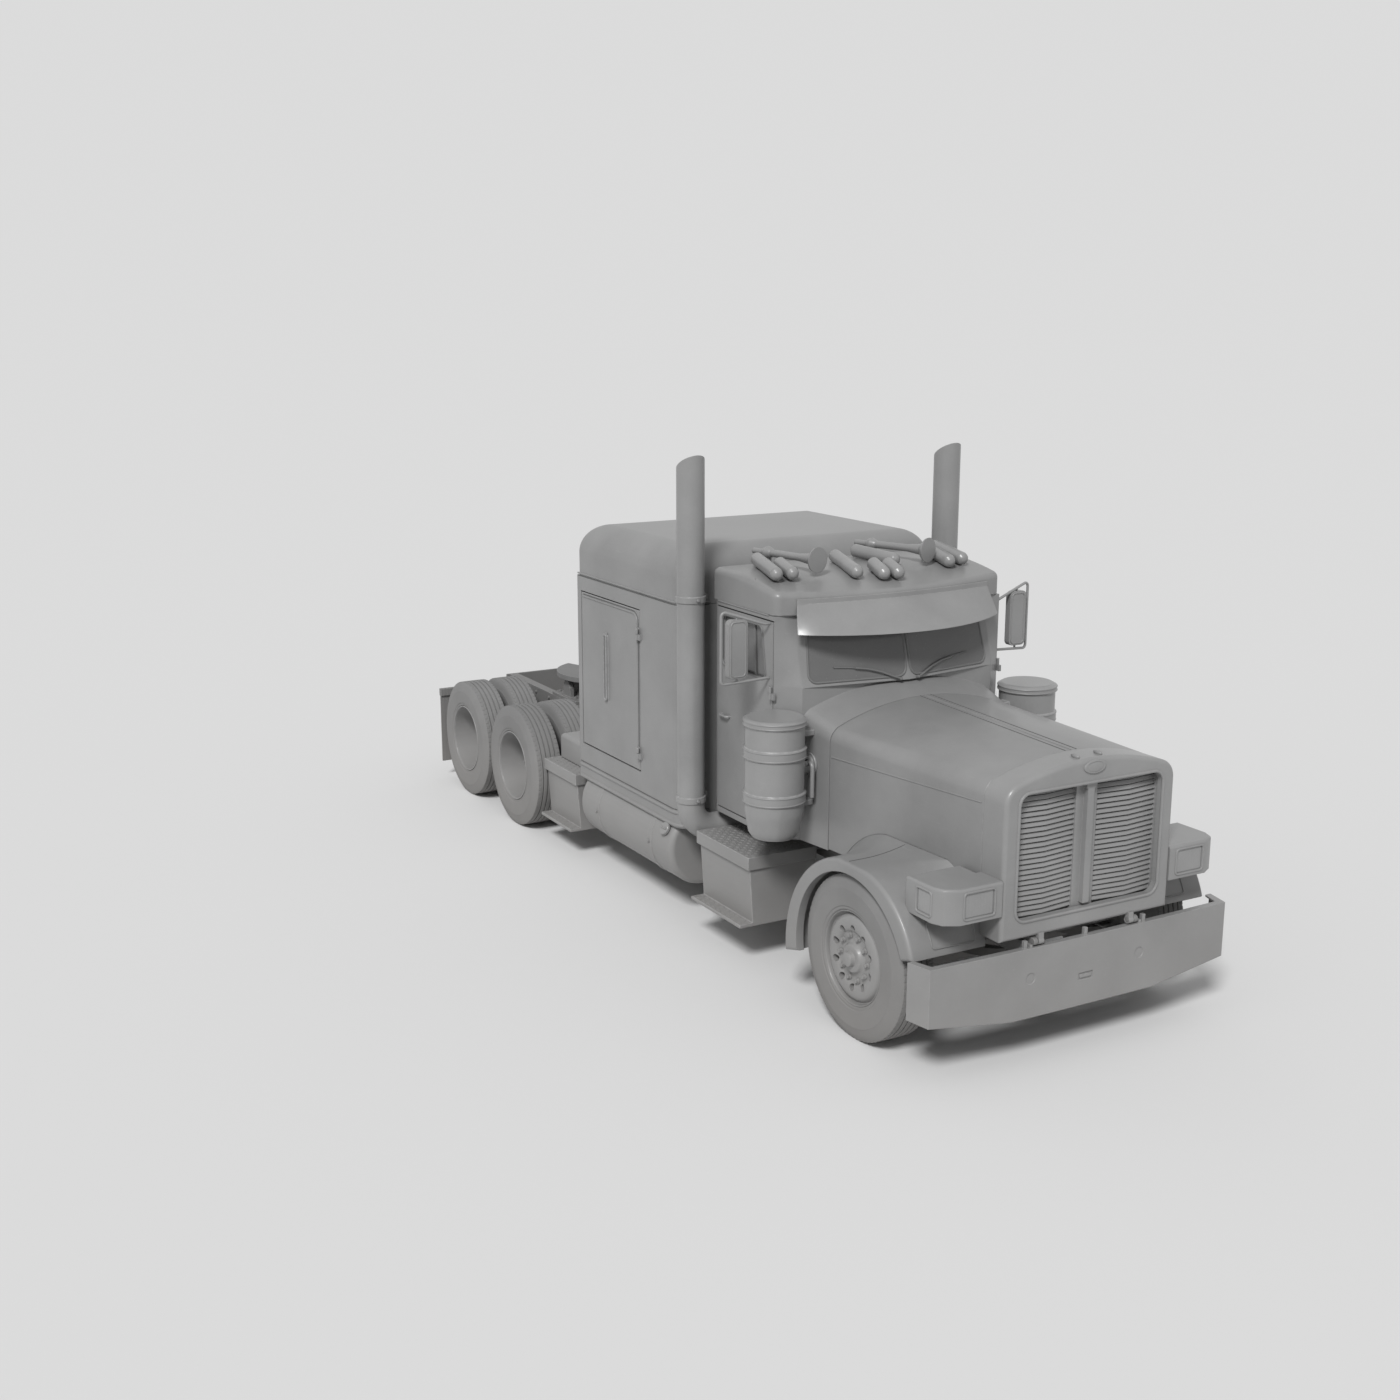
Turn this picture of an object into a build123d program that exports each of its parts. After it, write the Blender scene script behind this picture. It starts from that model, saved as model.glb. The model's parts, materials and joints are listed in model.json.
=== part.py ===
from build123d import *
from math import atan2, cos, hypot, sin, sqrt
import os

# A long-nosed road tractor with a sleeper box: X across (plus is the truck's left), the nose
# towards minus Y, Z up from the road. Lengths are in millimetres. Stations run back from the
# front axle, and the origin is on the road under the middle of the overall box.

# Axles and overhangs
FRONT_OVERHANG = 870.0
WHEELBASE = 5330.0
TANDEM_SPREAD = 1130.0
REAR_OVERHANG = 790.0
OVERALL_LENGTH = FRONT_OVERHANG + WHEELBASE + TANDEM_SPREAD + REAR_OVERHANG
FRONT_AXLE_Y = FRONT_OVERHANG - OVERALL_LENGTH / 2
DRIVE_STATIONS = (WHEELBASE, WHEELBASE + TANDEM_SPREAD)
TANDEM_MIDDLE = WHEELBASE + TANDEM_SPREAD / 2

# Tyres and wheels
TYRE_R = 545.0
TREAD_W = 215.0
FRONT_TYRE_W = 290.0
DRIVE_TYRE_W = 280.0
BEAD_R = 311.0
FRONT_TYRE_X = 1040.0
DUAL_PITCH = 340.0
DUAL_OUTER_X = 1084.0
DUAL_INNER_X = DUAL_OUTER_X - DUAL_PITCH
SHAFT_FIT = 0.3
SEAT_FIT = 0.3

# Frame
RAIL_TOP = 950.0
RAIL_H = 270.0
RAIL_X = 432.0
RAIL_FLANGE = 90.0
RAIL_T = 10.0
RAIL_FRONT = 180.0 - FRONT_OVERHANG
RAIL_TAIL = 740.0
RAIL_END = DRIVE_STATIONS[1] + RAIL_TAIL
RAIL_MID = RAIL_TOP - RAIL_H / 2

# Axles
KINGPIN_X = 890.0
KINGPIN_R = 28.0
AXLE_EYE_R = 55.0
AXLE_EYE_H = 110.0
FRONT_SPINDLE_R = 40.0
DRIVE_SPINDLE_R = 50.0
DRIVE_TUBE_R = 75.0

# Nose
NOSE_FACE = 20.0 - FRONT_OVERHANG
SHELL_W = 675.0
SHELL_L = 210.0
SHELL_BACK = NOSE_FACE + SHELL_L
SHELL_BASE = 834.0
SHELL_CROWN = 1908.0
SHELL_FLANGE = 45.0
SHELL_WALL = 35.0
SHELL_EDGE_R = 30.0
OPENING_W = 567.0
OPENING_BASE = SHELL_BASE + 120.0
OPENING_TOP = 1749.0
OPENING_R = 70.0
HOOD_BACK = 868.0
HOOD_BACK_W = 780.0
HOOD_BASE = 960.0
HOOD_CROWN = 1955.0
HOOD_T = 30.0
HOOD_SEAM = 8.0
HOOD_PIVOT = NOSE_FACE + 10.0
HOOD_PIVOT_Z = SHELL_BASE - 34.0
HOOD_PIN_R = 14.0
HOOD_LUG_R = 24.0
HOOD_LUG_X = 365.0
HOOD_LUG_T = 40.0
SHOULDER_R = 125.0
CROWN_R = 1880.0

# Fenders
FENDER_IN = 640.0
FENDER_OUT = 1200.0
ARCH_Z = 500.0
ARCH_R = 660.0
LIP_R = 606.0
LIP_W = 60.0

# Bumper
BUMPER_TOP = 770.0
BUMPER_BASE = 313.0
BUMPER_END_BASE = 404.0
BUMPER_FLAT = 572.0
BUMPER_W = 1200.0
BUMPER_T = 12.0

# Cab, from the cowl back and from the floor up
COWL_FRONT = HOOD_BACK + HOOD_SEAM
COWL_L = 289.0
CAB_W = 970.0
CAB_BASE = RAIL_TOP
CAB_WALL = 50.0
CAB_BODY_H = 1080.0
SCREEN_H = 490.0
CAB_ROOF_RISE = 232.0
CAB_BELT = CAB_BASE + CAB_BODY_H
CAB_ROOF_SEAM = CAB_BELT + SCREEN_H
CAB_ROOF_TOP = CAB_ROOF_SEAM + CAB_ROOF_RISE
PILLAR_W = CAB_W - 155.0
PILLAR_STATION = COWL_FRONT + COWL_L
GLASS_T = 8.0
DOOR_SETBACK = 137.0
DOOR_W = 748.0
DOOR_HINGE = PILLAR_STATION + DOOR_SETBACK
DOOR_END = DOOR_HINGE + DOOR_W
DOOR_BASE = CAB_BASE + CAB_WALL
DOOR_TOP = CAB_ROOF_SEAM - 40.0
DOOR_GAP = 10.0
DOOR_T = 60.0
CAB_BACK = DOOR_END + 110.0
HINGE_PROUD = 20.0
HINGE_R = 12.0
HINGE_H = 45.0
HINGE_LEAF = 34.0

# Deck ahead of the drive tyres, and the sleeper in what is left between it and the cab
TYRE_CLEARANCE = 17.0
DECK_STEP_L = 638.0
DECK_STEP_BACK = WHEELBASE - TYRE_R - TYRE_CLEARANCE
STOW_L = 610.0
STOW_BACK = DECK_STEP_BACK - 48.0
STOW_FRONT = STOW_BACK - STOW_L
BOOT_L = 140.0
SLEEPER_GAP = 60.0
SLEEPER_FRONT = CAB_BACK + BOOT_L
SLEEPER_BACK = STOW_FRONT - SLEEPER_GAP
SLEEPER_L = SLEEPER_BACK - SLEEPER_FRONT
SLEEPER_W = CAB_W + 170.0
SLEEPER_SKIRT = 750.0
SLEEPER_FLOOR = RAIL_TOP
SLEEPER_WALL = 50.0
SLEEPER_H = 1500.0
SLEEPER_ROOF_RISE = 420.0
SKIRT_T = 12.0
SKIRT_OPEN_W = 560.0
SLEEPER_ROOF_SEAM = SLEEPER_FLOOR + SLEEPER_H
SLEEPER_ROOF_TOP = SLEEPER_ROOF_SEAM + SLEEPER_ROOF_RISE
SLEEPER_CORNER = 140.0
SLEEPER_BACK_CORNER = 60.0
BUNK_DOOR_SHARE = 0.58
BUNK_DOOR_BACK = SLEEPER_BACK - 75.0
BUNK_DOOR_FRONT = BUNK_DOOR_BACK - BUNK_DOOR_SHARE * SLEEPER_L
BUNK_DOOR_BASE = SLEEPER_FLOOR + 110.0
BUNK_DOOR_TOP = SLEEPER_ROOF_SEAM - 130.0
PASSAGE_W = 420.0
PASSAGE_R = 90.0
PASSAGE_BASE = CAB_BASE + 100.0
PASSAGE_TOP = SLEEPER_ROOF_SEAM - 150.0

# Side equipment
TANK_R = 310.0
TANK_X = SLEEPER_W - 270.0
TANK_Z = 560.0
TANK_FRONT = SLEEPER_FRONT + 110.0
TANK_BACK = SLEEPER_BACK - 70.0
STACK_R = 101.5
STACK_X = SLEEPER_W - 10.0
STACK_STATION = SLEEPER_FRONT - 130.0
STACK_TOP = 3560.0
CLEANER_X = CAB_W + 120.0
CLEANER_STATION = PILLAR_STATION - 90.0
CLEANER_R = 205.0
COUPLER_STATION = TANDEM_MIDDLE + 5.0
COUPLER_TOP = 1200.0

os.makedirs("parts", exist_ok=True)


def at(station):
    """Y of a station measured back from the front axle."""
    return FRONT_AXLE_Y + station


def across(station):
    """Plane across the truck at a station: local X is X, local Y is Z, facing the nose."""
    return Plane.XZ.offset(-at(station))


def save(piece, name):
    piece.part.label = name
    export_step(piece.part, f"parts/{name}.step")


def arched_section(station, half_w, base, crown, inset=0.0):
    """Outline across the nose: upright sides, round shoulders and a shallow crown, all tangent."""
    w = half_w - inset
    corner_r = SHOULDER_R - inset
    crown_z = crown - CROWN_R
    crown_r = CROWN_R - inset
    shoulder = crown_z + sqrt((crown_r - corner_r) ** 2 - (w - corner_r) ** 2)
    reach = crown_r / (crown_r - corner_r)
    edge = (w - corner_r) * reach
    edge_z = crown_z + (shoulder - crown_z) * reach
    turn = atan2(shoulder - crown_z, w - corner_r) / 2
    bend = (w - corner_r + corner_r * cos(turn), shoulder + corner_r * sin(turn))
    with BuildSketch(across(station)) as section:
        with BuildLine():
            right = Line((w, base), (w, shoulder))
            round_right = ThreePointArc(right @ 1, bend, (edge, edge_z))
            top = ThreePointArc(round_right @ 1, (0, crown - inset), (-edge, edge_z))
            round_left = ThreePointArc(top @ 1, (-bend[0], bend[1]), (-w, shoulder))
            left = Line(round_left @ 1, (-w, base))
            Line(left @ 1, right @ 0)
        make_face()
    return section.sketch


# Frame rails: two channels open towards the middle
with BuildPart() as frame_rails:
    with BuildSketch(across(RAIL_END)):
        with BuildLine():
            Polyline(
                (RAIL_X, RAIL_TOP),
                (RAIL_X - RAIL_FLANGE, RAIL_TOP),
                (RAIL_X - RAIL_FLANGE, RAIL_TOP - RAIL_T),
                (RAIL_X - RAIL_T, RAIL_TOP - RAIL_T),
                (RAIL_X - RAIL_T, RAIL_TOP - RAIL_H + RAIL_T),
                (RAIL_X - RAIL_FLANGE, RAIL_TOP - RAIL_H + RAIL_T),
                (RAIL_X - RAIL_FLANGE, RAIL_TOP - RAIL_H),
                (RAIL_X, RAIL_TOP - RAIL_H),
                close=True,
            )
        make_face()
    extrude(amount=RAIL_END - RAIL_FRONT)
    mirror(about=Plane.YZ)
save(frame_rails, "frame_rails")

# Crossmembers: channels between the rail webs, the plate that closes the back end, and the
# two arms whose pins carry the tilting hood
CROSSMEMBER_STATIONS = (RAIL_FRONT + 90.0, SLEEPER_FRONT + 120.0, WHEELBASE - 850.0, TANDEM_MIDDLE)
CROSSMEMBER_H = 190.0
CROSSMEMBER_W = 110.0
CROSSMEMBER_T = 12.0
CROSSMEMBER_Z = RAIL_MID + 15.0
END_PLATE_T = 20.0
END_PLATE_W = RAIL_X + 30.0
HOOD_ARM_GAP = 6.0
with BuildPart() as crossmembers:
    for station in CROSSMEMBER_STATIONS:
        with BuildSketch(Plane.YZ.offset(RAIL_T - RAIL_X)):
            with Locations((at(station), CROSSMEMBER_Z)):
                Rectangle(CROSSMEMBER_W, CROSSMEMBER_H)
            with Locations((at(station) + CROSSMEMBER_T, CROSSMEMBER_Z)):
                Rectangle(CROSSMEMBER_W, CROSSMEMBER_H - 2 * CROSSMEMBER_T, mode=Mode.SUBTRACT)
        extrude(amount=2 * (RAIL_X - RAIL_T))
    with Locations((0, at(RAIL_END) + END_PLATE_T / 2, RAIL_MID)):
        Box(2 * END_PLATE_W, END_PLATE_T, RAIL_H)
    for side in (1, -1):
        arm_out = side * (RAIL_X - RAIL_T)
        with BuildSketch(Plane.YZ.offset(arm_out)):
            with Locations((at((HOOD_PIVOT + CROSSMEMBER_STATIONS[0]) / 2), HOOD_PIVOT_Z)):
                SlotCenterToCenter(CROSSMEMBER_STATIONS[0] - HOOD_PIVOT, 2 * HOOD_LUG_R)
        extrude(amount=-side * (RAIL_X - RAIL_T - HOOD_LUG_X - HOOD_LUG_T / 2 - HOOD_ARM_GAP))
        with BuildSketch(Plane.YZ.offset(arm_out)):
            with Locations((at(HOOD_PIVOT), HOOD_PIVOT_Z)):
                Circle(HOOD_PIN_R)
        extrude(amount=-side * (RAIL_X - RAIL_T - HOOD_LUG_X + HOOD_LUG_T / 2))
save(crossmembers, "crossmembers")

# Front axle: a dropped beam with an eye at each end for the kingpin
BEAM_Z = 440.0
BEAM_H = 100.0
BEAM_W = 90.0
BEAM_DROP_X = 640.0
with BuildPart() as front_axle:
    with BuildSketch(across(BEAM_W / 2)):
        with BuildLine():
            Polyline(
                (0, BEAM_Z - BEAM_H / 2),
                (BEAM_DROP_X, BEAM_Z - BEAM_H / 2),
                (KINGPIN_X - AXLE_EYE_R - 15, TYRE_R - AXLE_EYE_H / 2),
                (KINGPIN_X, TYRE_R - AXLE_EYE_H / 2),
                (KINGPIN_X, TYRE_R + AXLE_EYE_H / 2),
                (BEAM_DROP_X + 80, TYRE_R + AXLE_EYE_H / 2 - 20),
                (BEAM_DROP_X - 40, BEAM_Z + BEAM_H / 2),
                (0, BEAM_Z + BEAM_H / 2),
                close=True,
            )
        make_face()
    extrude(amount=BEAM_W)
    with Locations((KINGPIN_X, at(0), TYRE_R)):
        Cylinder(AXLE_EYE_R, AXLE_EYE_H)
        Cylinder(KINGPIN_R + SHAFT_FIT, AXLE_EYE_H, mode=Mode.SUBTRACT)
    mirror(about=Plane.YZ)
save(front_axle, "front_axle")

# Knuckles: two ears and the kingpin round the axle's eye, a web and the wheel spindle
EAR_T = 32.0
EAR_GAP = 0.5
WEB_X = KINGPIN_X + 68.0
WEB_T = 30.0
SPINDLE_END = 1105.0
with BuildPart() as knuckle_left:
    for up in (1, -1):
        ear_z = TYRE_R + up * (AXLE_EYE_H / 2 + EAR_GAP + EAR_T / 2)
        with Locations((KINGPIN_X, at(0), ear_z)):
            Cylinder(AXLE_EYE_R, EAR_T)
        with Locations(((KINGPIN_X + WEB_X + WEB_T) / 2, at(0), ear_z)):
            Box(WEB_X + WEB_T - KINGPIN_X, BEAM_W, EAR_T)
    with Locations((KINGPIN_X, at(0), TYRE_R)):
        Cylinder(KINGPIN_R, AXLE_EYE_H + 2 * EAR_T)
    with Locations((WEB_X + WEB_T / 2, at(0), TYRE_R)):
        Box(WEB_T, BEAM_W, AXLE_EYE_H + 2 * EAR_T)
    with BuildSketch(Plane.YZ.offset(WEB_X + WEB_T)):
        with Locations((at(0), TYRE_R)):
            Circle(FRONT_SPINDLE_R)
    extrude(amount=SPINDLE_END - WEB_X - WEB_T)
save(knuckle_left, "knuckle_left")
with BuildPart() as knuckle_right:
    mirror(knuckle_left.part, about=Plane.YZ)
save(knuckle_right, "knuckle_right")


def wheel_axis(station):
    return Axis((0, at(station), TYRE_R), (1, 0, 0))


def ring_plane(station):
    """Half plane above a wheel's axle: local X is X, local Y the radius from the axle."""
    return Plane(origin=(0, at(station), TYRE_R), x_dir=(1, 0, 0), z_dir=(0, -1, 0))


def tyre_section(station, centre_x, width):
    """Half section of a tyre: beads, bulged walls, shoulders and flat tread."""
    half = width / 2
    wall_r = BEAD_R + 0.62 * (TYRE_R - BEAD_R)
    with BuildSketch(ring_plane(station)) as section:
        with BuildLine():
            Polyline(
                (centre_x - half + 15, BEAD_R + SEAT_FIT),
                (centre_x - half, wall_r),
                (centre_x - TREAD_W / 2, TYRE_R),
                (centre_x + TREAD_W / 2, TYRE_R),
                (centre_x + half, wall_r),
                (centre_x + half - 15, BEAD_R + SEAT_FIT),
                close=True,
            )
        make_face()
    return section.sketch


# Front tyres and disc wheels: the disc bows outwards round a ring of hand holes, with a stepped
# hub and cap standing out of it, and the hub's bore runs on the knuckle's spindle
RIM_EDGE = 16.0
RIM_T = 13.0
DISC_X = FRONT_TYRE_X + 78.0
DISC_T = 24.0
HUB_R = 118.0
HUB_IN = WEB_X + WEB_T + SEAT_FIT
HUB_CAP_X = 1212.0
HAND_HOLES = 10
HAND_HOLE_R = 24.0
HAND_HOLE_PCD = 396.0
with BuildPart() as front_tyre_left:
    revolve(tyre_section(0, FRONT_TYRE_X, FRONT_TYRE_W), axis=wheel_axis(0))
save(front_tyre_left, "front_tyre_left")
with BuildPart() as front_wheel_left:
    rim_out = FRONT_TYRE_X + FRONT_TYRE_W / 2 - RIM_EDGE
    rim_in = FRONT_TYRE_X - FRONT_TYRE_W / 2 + RIM_EDGE
    with BuildSketch(ring_plane(0)):
        with BuildLine():
            Polyline(
                (SPINDLE_END + 8, 0),
                (HUB_CAP_X, 0),
                (HUB_CAP_X, 52),
                (HUB_CAP_X - 35, 62),
                (HUB_CAP_X - 35, 95),
                (DISC_X + DISC_T + 18, HUB_R),
                (DISC_X + DISC_T, HUB_R + 50),
                (DISC_X, BEAD_R - RIM_T - 20),
                (rim_out, BEAD_R - RIM_T + 6),
                (rim_out, BEAD_R),
                (rim_in, BEAD_R),
                (rim_in, BEAD_R - RIM_T),
                (DISC_X - DISC_T, BEAD_R - RIM_T - 22),
                (DISC_X, HUB_R + 40),
                (DISC_X, HUB_R - 28),
                (HUB_IN, HUB_R - 38),
                (HUB_IN, FRONT_SPINDLE_R + SHAFT_FIT),
                (SPINDLE_END + 8, FRONT_SPINDLE_R + SHAFT_FIT),
                close=True,
            )
        make_face()
    revolve(axis=wheel_axis(0))
    with BuildSketch(Plane.YZ.offset(DISC_X - 60)):
        with Locations((at(0), TYRE_R)):
            with PolarLocations(HAND_HOLE_PCD / 2, HAND_HOLES):
                Circle(HAND_HOLE_R)
    extrude(amount=120, mode=Mode.SUBTRACT)
save(front_wheel_left, "front_wheel_left")
for source, name in ((front_tyre_left, "front_tyre_right"), (front_wheel_left, "front_wheel_right")):
    with BuildPart() as opposite:
        mirror(source.part, about=Plane.YZ)
    save(opposite, name)

# Drive wheels: twin tyres on one deep-dished pair of rims bolted back to back
DUAL_DISC_X = (DUAL_OUTER_X + DUAL_INNER_X) / 2
DUAL_DISC_T = 36.0
DUAL_HUB_R = 112.0
DUAL_HUB_IN = 690.0
DUAL_HUB_OUT = 1062.0
DRIVE_SPINDLE_END = 1000.0
AXLE_NAMES = ("front", "rear")
for axle_name, station in zip(AXLE_NAMES, DRIVE_STATIONS):
    with BuildPart() as drive_tyres:
        for tyre_x in (DUAL_OUTER_X, DUAL_INNER_X):
            revolve(tyre_section(station, tyre_x, DRIVE_TYRE_W), axis=wheel_axis(station))
    with BuildPart() as drive_wheels:
        dish_out = DUAL_OUTER_X + DRIVE_TYRE_W / 2 - RIM_EDGE
        dish_in = DUAL_INNER_X - DRIVE_TYRE_W / 2 + RIM_EDGE
        disc_out = DUAL_DISC_X + DUAL_DISC_T / 2
        disc_in = DUAL_DISC_X - DUAL_DISC_T / 2
        with BuildSketch(ring_plane(station)):
            with BuildLine():
                Polyline(
                    (DRIVE_SPINDLE_END + 6, 0),
                    (DUAL_HUB_OUT, 0),
                    (DUAL_HUB_OUT, DUAL_HUB_R - 25),
                    (disc_out, DUAL_HUB_R),
                    (disc_out, BEAD_R - 48),
                    (dish_out, BEAD_R - RIM_T),
                    (dish_out, BEAD_R),
                    (dish_in, BEAD_R),
                    (dish_in, BEAD_R - RIM_T),
                    (disc_in, BEAD_R - 48),
                    (disc_in, DUAL_HUB_R),
                    (DUAL_HUB_IN, DUAL_HUB_R),
                    (DUAL_HUB_IN, DRIVE_SPINDLE_R + SHAFT_FIT),
                    (DRIVE_SPINDLE_END + 6, DRIVE_SPINDLE_R + SHAFT_FIT),
                    close=True,
                )
            make_face()
        revolve(axis=wheel_axis(station))
    for source, kind in ((drive_tyres, "tyres"), (drive_wheels, "wheels")):
        save(source, f"{axle_name}_drive_{kind}_left")
        with BuildPart() as opposite:
            mirror(source.part, about=Plane.YZ)
        save(opposite, f"{axle_name}_drive_{kind}_right")

# Drive axles: tube housings with a round differential case and a spindle at each end
DIFF_R = 205.0
DIFF_W = 300.0
DRIVE_TUBE_END = DUAL_HUB_IN - SEAT_FIT
with BuildPart() as drive_axles:
    for station in DRIVE_STATIONS:
        with BuildSketch(ring_plane(station)):
            with BuildLine():
                Polyline(
                    (0, 0),
                    (0, DIFF_R),
                    (0.3 * DIFF_W, DIFF_R),
                    (0.75 * DIFF_W, DRIVE_TUBE_R),
                    (DRIVE_TUBE_END, DRIVE_TUBE_R),
                    (DRIVE_TUBE_END, DRIVE_SPINDLE_R),
                    (DRIVE_SPINDLE_END, DRIVE_SPINDLE_R),
                    (DRIVE_SPINDLE_END, 0),
                    close=True,
                )
            make_face()
        revolve(axis=wheel_axis(station))
        with Locations(Location((0, at(station) - DIFF_R - 20, TYRE_R + 30), (90, 0, 0))):
            Cylinder(95, 160)
    mirror(about=Plane.YZ)
save(drive_axles, "drive_axles")

# Suspension: a leaf pack under each rail in front, and behind a walking beam on each side that
# carries both drive axles in round eyes and hangs from a saddle on the rail
LEAF_X = 385.0
LEAF_W = 80.0
LEAF_T = 46.0
LEAF_REACH = 600.0
BEAM_IN = RAIL_X + 34.0
WALK_BEAM_W = 80.0
WALK_BEAM_H = 130.0
WALK_EYE_R = 112.0
LEAF_SEAT = BEAM_Z + BEAM_H / 2
LEAF_END = RAIL_TOP - RAIL_H
SADDLE_L = 260.0
SADDLE_TOP = RAIL_TOP - 20.0
WALK_BEAM_Z = TYRE_R - 20.0
with BuildPart() as suspension:
    with BuildSketch(Plane.YZ.offset(LEAF_X - LEAF_W / 2)):
        with BuildLine():
            lower = ThreePointArc(
                (at(-LEAF_REACH), LEAF_END - LEAF_T),
                (at(0), LEAF_SEAT),
                (at(LEAF_REACH), LEAF_END - LEAF_T),
            )
            back = Line(lower @ 1, (at(LEAF_REACH), LEAF_END))
            upper = ThreePointArc(
                back @ 1, (at(0), LEAF_SEAT + 1.6 * LEAF_T), (at(-LEAF_REACH), LEAF_END)
            )
            Line(upper @ 1, lower @ 0)
        make_face()
    extrude(amount=LEAF_W)
    with BuildSketch(Plane.YZ.offset(BEAM_IN)):
        with Locations((at(TANDEM_MIDDLE), WALK_BEAM_Z)):
            Rectangle(TANDEM_SPREAD, WALK_BEAM_H)
        with Locations(*[(at(station), TYRE_R) for station in DRIVE_STATIONS]):
            Circle(WALK_EYE_R)
        with Locations(*[(at(station), TYRE_R) for station in DRIVE_STATIONS]):
            Circle(DRIVE_TUBE_R + SHAFT_FIT, mode=Mode.SUBTRACT)
    extrude(amount=WALK_BEAM_W)
    with BuildSketch(Plane.YZ.offset(RAIL_X)):
        with Locations((at(TANDEM_MIDDLE), (SADDLE_TOP + TYRE_R) / 2)):
            Rectangle(SADDLE_L, SADDLE_TOP - TYRE_R)
    extrude(amount=BEAM_IN + WALK_BEAM_W - RAIL_X)
    mirror(about=Plane.YZ)
save(suspension, "suspension")

# Engine, gearbox and shaft as plain masses, on mounts between the rail webs
ENGINE_FRONT = CROSSMEMBER_STATIONS[0] + 160.0
ENGINE_BACK = HOOD_BACK - 48.0
ENGINE_W = 280.0
ENGINE_BASE = 690.0
ENGINE_H = 860.0
ENGINE_EDGE = 60.0
MOUNT_STATIONS = (ENGINE_FRONT + 240.0, ENGINE_BACK - 120.0)
MOUNT_Z = RAIL_MID + 5.0
MOUNT_L = 110.0
MOUNT_H = 90.0
GEARBOX_BACK = DOOR_END - 300.0
GEARBOX_R = 165.0
GEARBOX_Z = 770.0
SHAFT_Z = 640.0
SHAFT_R = 58.0
SHAFT_END = WHEELBASE - DIFF_R - 100.0
YOKE_W = 150.0
YOKE_L = 120.0
YOKE_H = 180.0
YOKE_Z = 700.0
with BuildPart() as engine:
    with BuildSketch(Plane.XY.offset(ENGINE_BASE)):
        with Locations((0, at((ENGINE_FRONT + ENGINE_BACK) / 2))):
            Rectangle(2 * ENGINE_W, ENGINE_BACK - ENGINE_FRONT)
    extrude(amount=ENGINE_H)
    chamfer(engine.edges().group_by(Axis.Z)[-1], ENGINE_EDGE)
    with BuildSketch(across(GEARBOX_BACK)):
        with Locations((0, GEARBOX_Z)):
            Circle(GEARBOX_R)
    extrude(amount=GEARBOX_BACK - ENGINE_BACK)
    with BuildSketch(across(SHAFT_END)):
        with Locations((0, SHAFT_Z)):
            Circle(SHAFT_R)
    extrude(amount=SHAFT_END - GEARBOX_BACK)
    with Locations((0, at(GEARBOX_BACK), YOKE_Z)):
        Box(YOKE_W, YOKE_L, YOKE_H)
    for station in MOUNT_STATIONS:
        with Locations((0, at(station), MOUNT_Z)):
            Box(2 * (RAIL_X - RAIL_T), MOUNT_L, MOUNT_H)
save(engine, "engine")

# Radiator behind the grille, standing on the rails
RADIATOR_FRONT = NOSE_FACE + 115.0
RADIATOR_BACK = RADIATOR_FRONT + 80.0
RADIATOR_W = 560.0
RADIATOR_TOP = OPENING_TOP - 79.0
RADIATOR_CORNER = 60.0
with BuildPart() as radiator:
    with Locations((0, at((RADIATOR_FRONT + RADIATOR_BACK) / 2), (RAIL_TOP + RADIATOR_TOP) / 2)):
        Box(2 * RADIATOR_W, RADIATOR_BACK - RADIATOR_FRONT, RADIATOR_TOP - RAIL_TOP)
    chamfer(radiator.edges().filter_by(Axis.Y).group_by(Axis.Z)[-1], RADIATOR_CORNER)
save(radiator, "radiator")

# Front bumper: a deep plate bent back at the ends, its lower edge cut up towards them, with a
# folded top lip that carries three short stays, two round dimples, a slot in the middle, and two
# arms that bolt to the rails
BUMPER_BEND = NOSE_FACE
BUMPER_WRAP_W = 1240.0
BUMPER_WRAP = BUMPER_BEND + 170.0
BUMPER_LIP = 46.0
BUMPER_LIP_T = 14.0
BUMPER_ARM_T = 20.0
BUMPER_ARM_H = 100.0
BUMPER_ARM_Z = BUMPER_TOP - 30.0
BUMPER_ARM_BACK = RAIL_FRONT + 150.0
DIMPLE_X = 442.0
DIMPLE_Z = 572.0
DIMPLE_R = 36.0
DIMPLE_DEPTH = 8.0
SLOT_Z = 508.0
SLOT_W = 116.0
SLOT_H = 46.0
STAY_XS = (-480.0, 0.0, 480.0)
STAY_W = 26.0
STAY_H = 48.0


def bumper_plan(inset, back):
    """Plan of the bumper's outline, set in by a wall or a lip."""
    with BuildSketch(Plane.XY.offset(BUMPER_BASE)) as plan:
        with BuildLine():
            front = ThreePointArc(
                (inset - BUMPER_W, at(BUMPER_BEND) + inset),
                (0, at(-FRONT_OVERHANG) + inset),
                (BUMPER_W - inset, at(BUMPER_BEND) + inset),
            )
            Polyline(
                front @ 1,
                (BUMPER_WRAP_W - inset, at(back)),
                (inset - BUMPER_WRAP_W, at(back)),
                front @ 0,
            )
        make_face()
    return plan.sketch


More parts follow.
